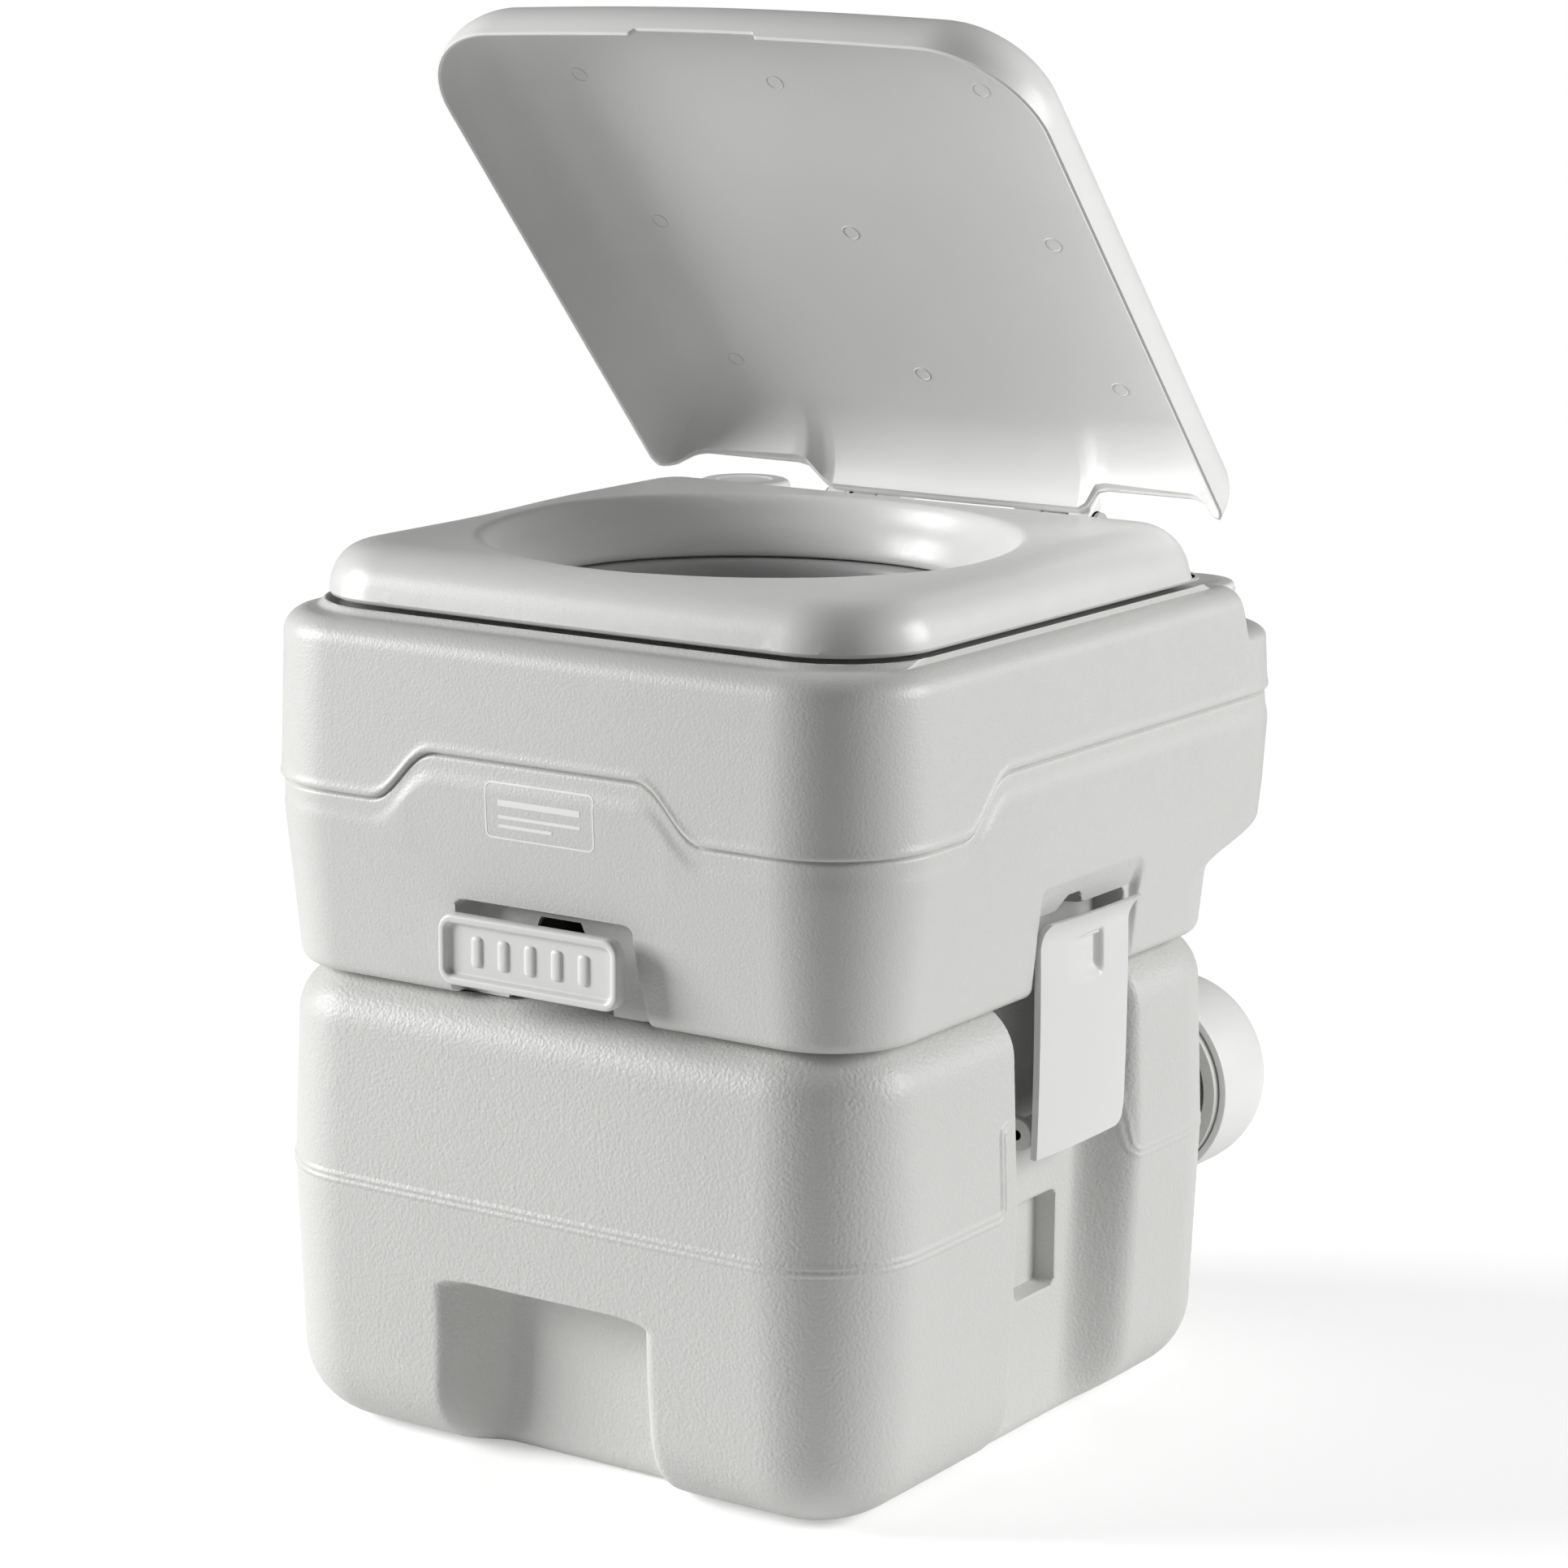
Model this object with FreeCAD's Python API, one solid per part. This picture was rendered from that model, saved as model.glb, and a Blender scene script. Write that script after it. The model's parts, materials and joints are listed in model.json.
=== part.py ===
import FreeCAD, Part
import math
import os

# Portable camp toilet: a waste tank with a slide valve and swivel spout, a water tank with bowl and pump on top of it,
# a hinged seat and a hinged lid, and a latch on each side. Millimetres, +Z up, front at -Y, origin on the floor.

V = FreeCAD.Vector
X_AXIS, Y_AXIS, Z_AXIS = V(1, 0, 0), V(0, 1, 0), V(0, 0, 1)

# walls and clearances
tank_wall = 2.5
panel_wall = 2.5
panel_margin = 3.0       # from a bend to where a moulding is divided into panels
slide_gap = 0.2          # blade in its slot
turn_gap = 0.08          # hinge pins in what turns on them
free_gap = 0.4           # round pieces that turn past each other

# waste tank
waste_inset = 5.0        # its sides inside the water tank's
waste_front = -201.5
waste_back = 151.5
waste_corner = 54.0
waste_height = 224.5
waste_parting = 128.0
waste_foot_round = 36.0
waste_top_round = 24.0
waste_draft = 0.04

# hand grip in the waste tank's front, and the latch channel in each side
grip_half_width = 56.0
grip_depth = 33.0
grip_height = 90.0
channel_front = -64.0
channel_back = 34.0
channel_depth = 24.0
pocket_length = 38.0
pocket_low, pocket_high = 68.0, 117.0
pocket_depth = 10.0

# water tank
tank_half_width = 177.0
tank_front = -201.5
tank_back = 201.5
tank_corner = 54.0
tank_height = 168.5
tank_parting = 88.5      # above the tank's own bottom
tank_foot_round = 10.0
tank_top_round = 11.0
tank_draft_low = 0.10
tank_draft_high = 0.03
overhang_start = 152.0   # the rear is cut back below the overhang
overhang_height = 42.5   # above the tank's own bottom
shelf_front = 141.0
shelf_drop = 23.4
deck_margin = 97.0       # from each side to the raised middle that carries the hinge
deck_back = 181.0

# bowl and valve
bowl_margin = 65.0       # inside the water tank's sides
bowl_half_length = 105.0
bowl_middle = -26.0
bowl_wall = 2.5
bowl_flange = 12.0
bowl_curve = 2.2
outlet_radius = 45.0
outlet_middle = -20.0
well_gap = 2.0
valve_half_width = 66.0
valve_front_reach, valve_back_reach = 64.0, 64.0
valve_base_height = 19.5
valve_cover_height = 10.0
blade_thickness = 3.4
blade_half_width = 56.0
blade_front_reach, blade_back_reach = 56.0, 54.0
valve_travel = 102.0
seal_height = 4.0
stem_half_width = 22.0

# screws
screw_radius = 2.0
screw_hole_radius = 2.3
screw_head_radius, screw_head_height = 4.0, 2.4
screw_slot_half_length, screw_slot_half_width = 2.6, 0.5
boss_radius = 5.0
screw_depth = 13.0       # below the face it is screwed into
hinge_screw_depth = 11.0

# pull handle in the water tank's front recess
handle_half_width = 50.5
handle_lift = 9.5        # its lower edge above the joint between the tanks
handle_height = 33.0
handle_proud = 8.0       # in front of the water tank's front
handle_thickness = 6.5
handle_rim = 4.5
handle_corner = 8.0
handle_dish = 3.0
grip_bar_width, grip_bar_pitch = 8.0, 15.0
recess_half_width = 52.0
recess_top_gap = 4.6
recess_depth = 18.5

# latches
latch_front = -46.6
latch_reach_down, latch_reach_up = 76.5, 35.5   # from the joint between the tanks
latch_inset = 3.0        # its face inside the water tank's side
latch_thickness = 4.0
latch_pivot_out = 12.0   # from the channel's back wall
latch_pivot_lift = 10.0  # above the latch's lower edge
latch_pin_radius = 2.5
latch_ear_radius = 8.0
latch_ear_width = 5.5
latch_lip = 7.0
latch_recess_depth = 24.0
catch_reach = 9.0
hook_half_width = 18.0
latch_gap = 17.0         # finger room above the latch

# seat, lid and their hinge
hinge_y = 160.0
hinge_lift = 19.0        # its axis above the water tank's top
hinge_pin_radius = 4.0
seat_margin = 13.5       # inside the water tank's sides
seat_front, seat_back = -177.0, 126.0
seat_front_corner, seat_back_corner = 48.0, 18.0
seat_thickness = 29.5
seat_lift = 4.5          # rubber bumpers hold the seat above the tank
seat_round = 27.0
seat_border = 26.5       # from the hole's upper edge to the seat's side
seat_lip = 0.5           # the hole's lower edge inside the bowl's rim
seat_hole_length_top, seat_hole_middle_top = 128.0, -33.0
seat_hole_length_low, seat_hole_middle_low = 105.0, -26.0
bumper_from_side = 23.5
bumper_front, bumper_back = -120.0, 80.0
lid_overlap = 5.5        # outside the seat's sides
lid_front = -183.0
lid_corner = 44.0
lid_rim_lift = 3.5       # the closed rim above the tank's top
lid_depth = 37.5
lid_round = 26.0
lid_ear_back = 131.0
lid_tab_half_width = 80.0
lid_ear_width = 20.0     # between them and the tab the rear edge is cut forwards, clear of the pump knob
lid_notch_front = 124.5
lid_tab_back = 152.0
lid_open_angle = 48.0
post_width, arm_width, knuckle_width = 14.0, 14.0, 12.0
post_inner = 34.0
side_play = 2.0
hinge_eye_radius = 8.0
hinge_foot_height = 3.0
hinge_foot_reach = 14.0  # the foot's half length, and how far it goes inwards of the post

# pump, flush nozzle and filler
pump_from_side, pump_y = 37.3, 167.0
pump_bore = 14.5
pump_wall = 2.0
pump_length = 86.0
pump_knob_radius = 24.3
pump_knob_height = 12.0
pump_knob_lift = 35.4
pump_rod_radius = 5.0
pump_travel = 20.0       # the knob's rise below the open lid
flush_angle = 35.0       # round the bowl, from the left towards the back
flush_drop = 36.0
flush_tube_radius = 5.0
nozzle_width, nozzle_depth, nozzle_height = 27.0, 10.0, 40.0
filler_from_side, filler_y = 53.0, 168.5
filler_bore = 18.0
filler_cap_radius = 25.5
filler_cap_height = 17.0

# pour-out spout
spout_from_side, spout_z = 65.0, 128.0
spout_bore = 37.0
neck_wall = 4.0
neck_length = 15.0       # behind the tank's back wall
spout_ring_width = 6.0
spout_radius = 51.0
spout_depth = 57.0
spout_start = 163.0
spout_wall = 2.6
spout_round = 27.0
spout_tube_radius = 20.5
spout_tube_reach = 82.0
spout_cap_radius = 28.0
spout_cap_length = 22.0


# ---------- worked out from the sizes above ----------
waste_half_width = tank_half_width - waste_inset
bowl_half_width = tank_half_width - bowl_margin
deck_half_width = tank_half_width - deck_margin
spout_x = waste_half_width - spout_from_side
tank_low = waste_height
latch_back = channel_back
latch_low, latch_high = waste_height - latch_reach_down, waste_height + latch_reach_up
latch_face = tank_half_width - latch_inset
latch_pivot_x = waste_half_width - channel_depth + latch_pivot_out
latch_pivot_z = latch_low + latch_pivot_lift
handle_low = waste_height + handle_lift
handle_high = handle_low + handle_height
handle_face = tank_front - handle_proud
seat_half_width = tank_half_width - seat_margin
bumper_x = seat_half_width - bumper_from_side
lid_half_width = seat_half_width + lid_overlap
lid_notch_outer = lid_half_width - lid_ear_width
seat_hole_top = (seat_half_width - seat_border, seat_hole_length_top, seat_hole_middle_top)
seat_hole_low = (bowl_half_width - seat_lip, seat_hole_length_low, seat_hole_middle_low)
pump_x = pump_from_side - tank_half_width
filler_x = tank_half_width - filler_from_side
tank_high = tank_low + tank_height
shelf_z = tank_high - shelf_drop
overhang_z = tank_low + overhang_height
valve_low = waste_height
blade_low = valve_low + valve_base_height + slide_gap
cover_low = blade_low + blade_thickness + slide_gap
cover_high = cover_low + valve_cover_height
bowl_low = cover_high + seal_height
bay_top = bowl_low + 4.0
seat_low = tank_high + seat_lift
hinge_z = tank_high + hinge_lift
seat_high = seat_low + seat_thickness
lid_rim_z = tank_high + lid_rim_lift
lid_top_z = lid_rim_z + lid_depth
channel_x = waste_half_width - channel_depth
latch_recess_x = tank_half_width - latch_recess_depth
recess_top = handle_high + recess_top_gap
arm_inner = post_inner + post_width + side_play
knuckle_inner = arm_inner + arm_width + side_play
neck_end = waste_back + neck_length


def box(x0, x1, y0, y1, z0, z1):
    return Part.makeBox(x1 - x0, y1 - y0, z1 - z0, V(x0, y0, z0))


def rounded_box(x0, x1, y0, y1, z0, z1, radius, axis=Z_AXIS):
    """A box whose four edges along the axis are rounded."""
    block = box(x0, x1, y0, y1, z0, z1)
    edges = [e for e in block.Edges if abs((e.lastVertex().Point - e.firstVertex().Point).normalize().dot(axis)) > 0.9]
    return block.makeFillet(radius, edges)


def cylinder(radius, start, end):
    way = end - start
    return Part.makeCylinder(radius, way.Length, start, way)


def ring(outer, inner, start, end):
    return cylinder(outer, start, end).cut(cylinder(inner, start, end))


def ellipse(half_x, half_y, middle_y, z):
    """A closed elliptical wire, whichever half axis is the longer."""
    long_x = half_x >= half_y
    curve = Part.Ellipse(V(0, 0, 0), max(half_x, half_y), min(half_x, half_y))
    wire = Part.Wire([curve.toShape()])
    if not long_x:
        wire.rotate(V(0, 0, 0), Z_AXIS, 90)
    wire.translate(V(0, middle_y, z))
    return wire


def plan(half_width, front, back, front_corner, back_corner, z):
    """A rectangle with round corners, as one wire of eight edges."""
    w = half_width
    turns = [(w, back, back_corner, 0), (-w, back, back_corner, 90),
             (-w, front, front_corner, 180), (w, front, front_corner, 270)]
    arcs = []
    for x, y, r, start in turns:
        centre = V(x - math.copysign(r, x), y - math.copysign(r, 1 if y == back else -1), z)
        points = [centre + V(r * math.cos(math.radians(a)), r * math.sin(math.radians(a)), 0)
                  for a in (start, start + 45, start + 90)]
        arcs.append(points)
    edges = []
    for i, points in enumerate(arcs):
        edges.append(Part.Arc(*points).toShape())
        edges.append(Part.LineSegment(points[2], arcs[(i + 1) % 4][0]).toShape())
    return Part.Wire(edges)


def block(half_width, front, back, corner, low, high, parting, draft_low, draft_high,
          round_low, round_high, back_corner=None, steps=4):
    """A tank-like body: a rounded plan that tapers away from the parting height and has round lower and upper edges."""
    levels = []
    for i in range(steps + 1 if round_low else 1):
        a = math.radians(90 * i / steps)
        levels.append((low + round_low * (1 - math.cos(a)), round_low * (1 - math.sin(a))))
    if low + round_low < parting < high - round_high:
        levels.append((parting, 0.0))
    for i in range(steps + 1 if round_high else 1):
        a = math.radians(90 - 90 * i / steps)
        levels.append((high - round_high * (1 - math.cos(a)), round_high * (1 - math.sin(a))))
    wires = []
    for z, cut in levels:
        cut += (draft_low if z < parting else draft_high) * abs(z - parting)
        wires.append(plan(half_width - cut, front + cut, back - cut, max(corner - cut, 2.0),
                          max((back_corner or corner) - cut, 2.0), z))
    return Part.makeLoft(wires, True, True)


def waste_body(skin):
    """The waste tank's outside, or what lies a wall's thickness inside it."""
    return block(waste_half_width - skin, waste_front + skin, waste_back - skin, waste_corner - skin,
                 skin, waste_height - skin, waste_parting, waste_draft, waste_draft,
                 waste_foot_round - skin, waste_top_round - skin)


def tank_body(skin):
    return block(tank_half_width - skin, tank_front + skin, tank_back - skin, tank_corner - skin,
                 tank_low + skin, tank_high - skin, tank_low + tank_parting, tank_draft_low, tank_draft_high,
                 tank_foot_round - skin, tank_top_round - skin)


def bowl_size(z, grow):
    """Half width, half length and middle of the bowl's outside at a height."""
    down = (tank_high - z) / (tank_high - bowl_low)
    swell = 1 - down ** bowl_curve
    foot = outlet_radius + bowl_wall
    return (foot + (bowl_half_width - foot) * swell + grow, foot + (bowl_half_length - foot) * swell + grow,
            bowl_middle + (outlet_middle - bowl_middle) * down)


def bowl_body(grow, top=0.0, bottom=0.0):
    """The bowl's outer form grown by a distance, carried straight up and down past its ends."""
    steps = 6
    heights = [tank_high + (bowl_low - tank_high) * i / steps for i in range(steps + 1)]
    wires = [ellipse(*bowl_size(z, grow), z) for z in heights]
    form = Part.makeLoft(wires, True, True)
    if top:
        lift = ellipse(*bowl_size(tank_high, grow), tank_high)
        form = form.fuse(Part.Face(lift).extrude(V(0, 0, top)))
    if bottom:
        drop = ellipse(*bowl_size(bowl_low, grow), bowl_low)
        form = form.fuse(Part.Face(drop).extrude(V(0, 0, -bottom)))
    return form


def both_sides(shape):
    """The shape and its mirror image across the middle plane."""
    return [shape, shape.mirror(V(0, 0, 0), X_AXIS)]


def valve_screw_places():
    y_front = outlet_middle - valve_front_reach + 14
    y_back = outlet_middle + valve_back_reach - 14
    x = (valve_half_width + blade_half_width) / 2 + 0.4
    return [(s * x, y) for s in (1, -1) for y in (y_front, (y_front + y_back) / 2, y_back)]


def hinge_screw_places():
    x = post_inner - 7.5
    return [(s * x, hinge_y + d) for s in (1, -1) for d in (-8, 8)]


def latch_ear(y0, y1):
    root = box(channel_x - tank_wall, latch_pivot_x, y0, y1, latch_pivot_z - latch_ear_radius,
               latch_pivot_z + latch_ear_radius)
    eye = cylinder(latch_ear_radius, V(latch_pivot_x, y0, latch_pivot_z), V(latch_pivot_x, y1, latch_pivot_z))
    return root.fuse(eye)


def latch_ear_spans():
    return [(latch_front + 1, latch_front + 1 + latch_ear_width), (latch_back - 1 - latch_ear_width, latch_back - 1)]


def carve(shape, parts):
    """Cuts a hollow moulding into panels by region, in order; the last name takes what is left."""
    panels = {}
    for name, region in parts[:-1]:
        panels[name] = shape.common(region)
        shape = shape.cut(region)
    panels[parts[-1][0]] = shape
    return panels


def slab(**limits):
    """Everything between the limits given, such as x_low or z_high, and very far otherwise."""
    far = 1000.0
    low = [limits.get(axis + "_low", -far) for axis in "xyz"]
    high = [limits.get(axis + "_high", far) for axis in "xyz"]
    return box(low[0], high[0], low[1], high[1], low[2], high[2])


def waste_panels():
    side = channel_x - pocket_depth - tank_wall - panel_margin
    return carve(waste_tank(), [
        ("waste_tank_front", slab(y_high=waste_front + grip_depth + tank_wall + panel_margin)),
        ("waste_tank_back", slab(y_low=waste_back - waste_foot_round)),
        ("waste_tank_left_lower", slab(x_high=-side, z_high=pocket_high + tank_wall + panel_margin)),
        ("waste_tank_right_lower", slab(x_low=side, z_high=pocket_high + tank_wall + panel_margin)),
        ("waste_tank_left_upper", slab(x_high=-side)),
        ("waste_tank_right_upper", slab(x_low=side)),
        ("waste_tank_top", slab(z_low=waste_height - waste_top_round)),
        ("waste_tank_floor", None)])


def water_panels():
    side = bowl_half_width + well_gap + tank_wall + panel_margin
    return carve(water_tank(), [
        ("water_tank_front", slab(y_high=tank_front + recess_depth + tank_wall + panel_margin)),
        ("water_tank_back", slab(y_low=shelf_front - tank_wall - panel_margin)),
        ("water_tank_left_lower", slab(x_high=-side, z_high=latch_high + latch_gap + tank_wall + panel_margin)),
        ("water_tank_right_lower", slab(x_low=side, z_high=latch_high + latch_gap + tank_wall + panel_margin)),
        ("water_tank_left_upper", slab(x_high=-side)),
        ("water_tank_right_upper", slab(x_low=side)),
        ("water_tank_top", slab(z_low=tank_high - tank_top_round)),
        ("water_tank_bay", slab(z_high=bay_top + tank_wall + panel_margin)),
        ("water_tank_well", None)])


def seat_panels():
    return carve(seat(), [
        ("seat_front", slab(y_high=seat_hole_top[2] - seat_hole_top[1] / 2)),
        ("seat_back", slab(y_low=seat_hole_top[2] + seat_hole_top[1] / 2)),
        ("seat_left", slab(x_high=0)),
        ("seat_right", None)])


def lid_panels():
    """The lid's panels, cut as it is drawn closed."""
    side = lid_half_width - lid_round - panel_margin
    panels = carve(lid_closed(), [
        ("lid_front", slab(y_high=lid_front + lid_round + panel_margin)),
        ("lid_left", slab(x_high=-side)),
        ("lid_right", slab(x_low=side)),
        ("lid_plate", None)])
    return {name: open_lid(panel) for name, panel in panels.items()}


def waste_tank():
    far = waste_half_width + 20
    grip = rounded_box(-grip_half_width, grip_half_width, waste_front - 30, waste_front + grip_depth,
                       -30, grip_height, 18, Y_AXIS)
    grip_skin = rounded_box(-grip_half_width - tank_wall, grip_half_width + tank_wall, waste_front - 30,
                            waste_front + grip_depth + tank_wall, -30, grip_height + tank_wall, 18, Y_AXIS)
    channel = box(channel_x, far, channel_front, channel_back, -1, waste_height + 1)
    channel_skin = box(channel_x - tank_wall, far, channel_front - tank_wall, channel_back + tank_wall,
                       -1, waste_height + 1)
    pocket_middle = (latch_front + latch_back) / 2
    p0, p1 = pocket_middle - pocket_length / 2, pocket_middle + pocket_length / 2
    pocket = box(channel_x - pocket_depth, channel_x + 1, p0, p1, pocket_low, pocket_high)
    pocket_skin = box(channel_x - pocket_depth - tank_wall, channel_x, p0 - tank_wall, p1 + tank_wall,
                      pocket_low - tank_wall, pocket_high + tank_wall)
    cuts = [grip] + both_sides(channel) + both_sides(pocket)
    skins = [grip_skin] + both_sides(channel_skin) + both_sides(pocket_skin)
    bosses = [cylinder(boss_radius, V(x, y, waste_height - screw_depth - 3), V(x, y, waste_height))
              for x, y in valve_screw_places()]
    hollow = waste_body(tank_wall).cut(skins + bosses)
    outside = waste_body(0).cut(cuts)
    neck = cylinder(spout_bore + neck_wall, V(spout_x, waste_back - 30, spout_z), V(spout_x, neck_end, spout_z))
    ears = []
    for y0, y1 in latch_ear_spans():
        ears += both_sides(latch_ear(y0, y1))
    tank = outside.fuse([neck.cut(waste_body(tank_wall / 2))] + ears).cut(hollow)
    mouth = cylinder(outlet_radius + 1, V(0, outlet_middle, waste_height - 20), V(0, outlet_middle, waste_height + 1))
    throat = cylinder(spout_bore, V(spout_x, waste_back - 60, spout_z), V(spout_x, neck_end + 1, spout_z))
    pins = both_sides(cylinder(latch_pin_radius, V(latch_pivot_x, channel_front, latch_pivot_z),
                               V(latch_pivot_x, channel_back, latch_pivot_z)))
    screws = [cylinder(screw_radius, V(x, y, waste_height - screw_depth), V(x, y, waste_height + 1))
              for x, y in valve_screw_places()]
    return tank.cut([mouth, throat] + pins + screws)


def flush_points():
    """Where the flush tube leaves the pump's axis and where it meets the bowl's wall."""
    z = tank_high - flush_drop
    half_x, half_y, middle = bowl_size(z, 0)
    a = math.radians(flush_angle)
    return V(pump_x, pump_y, z), V(-half_x * math.cos(a), middle + half_y * math.sin(a), z)


def water_tank():
    far, up = tank_half_width + 20, tank_high + 10
    def under(skin):
        recess = box(-recess_half_width - skin, recess_half_width + skin, tank_front - 20,
                     tank_front + recess_depth + skin, tank_low - 1, recess_top + skin)
        stem_way = box(-stem_half_width - 6 - skin, stem_half_width + 6 + skin, tank_front + recess_depth - 1,
                       tank_front + recess_depth + 10, tank_low - 1, blade_low + blade_thickness + 8 + skin)
        bay = box(-valve_half_width - 6 - skin, valve_half_width + 6 + skin,
                  outlet_middle - blade_front_reach - valve_travel - 2 - skin, outlet_middle + valve_back_reach + 6 + skin,
                  tank_low - 1, bay_top + skin)
        side = box(latch_recess_x - skin, far, latch_front - 2 - skin, latch_back + 12 + skin,
                   tank_low - 1, latch_high + latch_gap + skin)
        rear = box(-far, far, overhang_start - skin, tank_back + 10, tank_low - 1, overhang_z + skin)
        return [recess, stem_way, bay, rear] + both_sides(side)
    def above(skin):
        shelf = box(deck_half_width - skin, far, shelf_front - skin, tank_back + 10, shelf_z - skin, up)
        behind = box(-far, far, deck_back - skin, tank_back + 10, shelf_z - skin, up)
        return [behind] + both_sides(shelf)
    bosses = [cylinder(boss_radius, V(x, y, tank_high - hinge_screw_depth - 3), V(x, y, tank_high))
              for x, y in hinge_screw_places()]
    hollow = tank_body(tank_wall).cut(under(tank_wall) + above(tank_wall) + [bowl_body(well_gap + tank_wall, 10, 40)]
                                      + bosses)
    outside = tank_body(0).cut(under(0) + above(0) + [bowl_body(well_gap, 10, 40)])
    catch = box(latch_recess_x - 1, latch_recess_x + catch_reach, -hook_half_width - 2 + latch_middle(),
                hook_half_width + 2 + latch_middle(), latch_high - 24, latch_high - 15.5)
    filler_neck = cylinder(filler_bore + 3, V(filler_x, filler_y, shelf_z - 1), V(filler_x, filler_y, filler_neck_top()))
    tank = outside.cut(hollow).fuse(both_sides(catch) + [filler_neck])
    filler_hole = cylinder(filler_bore, V(filler_x, filler_y, shelf_z - 12), V(filler_x, filler_y, up))
    pump_hole = cylinder(pump_bore + pump_wall, V(pump_x, pump_y, shelf_z - 12), V(pump_x, pump_y, up))
    start, end = flush_points()
    tube_hole = cylinder(flush_tube_radius, start + (end - start) * 0.5, end + (end - start) * 0.05)
    screws = [cylinder(screw_radius, V(x, y, tank_high - hinge_screw_depth), V(x, y, up))
              for x, y in hinge_screw_places()]
    return tank.cut([filler_hole, pump_hole, tube_hole] + screws)


def latch_middle():
    return (latch_front + latch_back) / 2


def filler_neck_top():
    return shelf_z + 1.4 + filler_cap_height - 4 - 1


def bowl():
    flange = Part.Face(ellipse(*[s + bowl_flange for s in bowl_size(tank_high, 0)[:2]], bowl_middle, tank_high))
    form = bowl_body(0).fuse(flange.extrude(V(0, 0, 2)))
    start, end = flush_points()
    way = cylinder(flush_tube_radius, start + (end - start) * 0.5, end + (end - start) * 0.1)
    return form.cut([bowl_body(-bowl_wall, 10, 10), way])


def nozzle():
    """A small box on the bowl's left rear wall that turns the flush water along the wall."""
    start, end = flush_points()
    a = math.radians(flush_angle)
    half_x, half_y, _ = bowl_size(end.z, 0)
    outward = V(-math.cos(a) / half_x, math.sin(a) / half_y, 0).normalize()
    turn = math.degrees(math.atan2(outward.y, outward.x))
    w, d = nozzle_width, nozzle_depth + bowl_wall
    body = rounded_box(-d, 6, -w / 2, w / 2, 0, nozzle_height, 5, X_AXIS)
    mouth = box(-d + 2, -bowl_wall - 2, -w / 2 + 3, w / 2 - 3, -1, nozzle_height - 8)
    port = cylinder(flush_tube_radius - 1.5, V(-d + 4, 0, nozzle_height - 14), V(12, 0, nozzle_height - 14))
    body = body.cut(mouth).cut(port)
    body.rotate(V(0, 0, 0), Z_AXIS, turn)
    body.translate(V(end.x, end.y, end.z - nozzle_height + 14))
    return body.common(bowl_body(-bowl_wall, 10, 10))


def flush_tube():
    start, end = flush_points()
    far = end + (end - start) * 0.1
    tube = ring(flush_tube_radius, flush_tube_radius - 1.5, start, far)
    pump = cylinder(pump_bore + pump_wall, start + V(0, 0, -20), start + V(0, 0, 20))
    return tube.cut([pump, bowl_body(-bowl_wall, 10, 10)])


def valve_plate(low, high):
    return rounded_box(-valve_half_width, valve_half_width, outlet_middle - valve_front_reach,
                       outlet_middle + valve_back_reach, low, high, 8)


def valve_holes(radius, low, high):
    holes = [cylinder(radius, V(x, y, low), V(x, y, high)) for x, y in valve_screw_places()]
    return holes + [cylinder(outlet_radius, V(0, outlet_middle, low), V(0, outlet_middle, high))]


def seal_ring(outer, inner, low, high):
    return ring(outer, inner, V(0, outlet_middle, low), V(0, outlet_middle, high))


def valve_base():
    top = valve_low + valve_base_height
    grooves = [seal_ring(outlet_radius + 6, outlet_radius + 2, top - 3, top + 1),
               seal_ring(outlet_radius + 11, outlet_radius + 5, valve_low - 1, valve_low + 2)]
    return valve_plate(valve_low, top).cut(valve_holes(screw_hole_radius, valve_low - 1, top + 1) + grooves)


def valve_cover():
    """The upper half of the valve, with the two side strips and the back strip that make the blade's slot."""
    slot = box(-blade_half_width - slide_gap, blade_half_width + slide_gap, outlet_middle - valve_front_reach - 1,
               outlet_middle + blade_back_reach + slide_gap, valve_low, cover_low)
    low = valve_low + valve_base_height
    return valve_plate(low, cover_high).cut(valve_holes(screw_hole_radius, low - 1, cover_high + 1) + [slot])


def slotted_screw(x, y, low, seat_z):
    """A pan-head screw from its tip up to the face that its head rests on."""
    shank = cylinder(screw_radius, V(x, y, low), V(x, y, seat_z))
    top = seat_z + screw_head_height
    head = cylinder(screw_head_radius, V(x, y, seat_z), V(x, y, top))
    slot = box(x - screw_slot_half_length, x + screw_slot_half_length, y - screw_slot_half_width,
               y + screw_slot_half_width, top - screw_head_height / 2, top + 1)
    return shank.fuse(head).cut(slot)


def valve_screws():
    return Part.makeCompound([slotted_screw(x, y, waste_height - screw_depth, cover_high)
                              for x, y in valve_screw_places()])


def gate_blade():
    z0, z1 = blade_low, blade_low + blade_thickness
    blade = rounded_box(-blade_half_width, blade_half_width, outlet_middle - blade_front_reach,
                        outlet_middle + blade_back_reach, z0, z1, 6)
    stem = box(-stem_half_width, stem_half_width, handle_face + handle_thickness + 3,
               outlet_middle - blade_front_reach + 1, z0, z1)
    return blade.fuse(stem)


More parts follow.
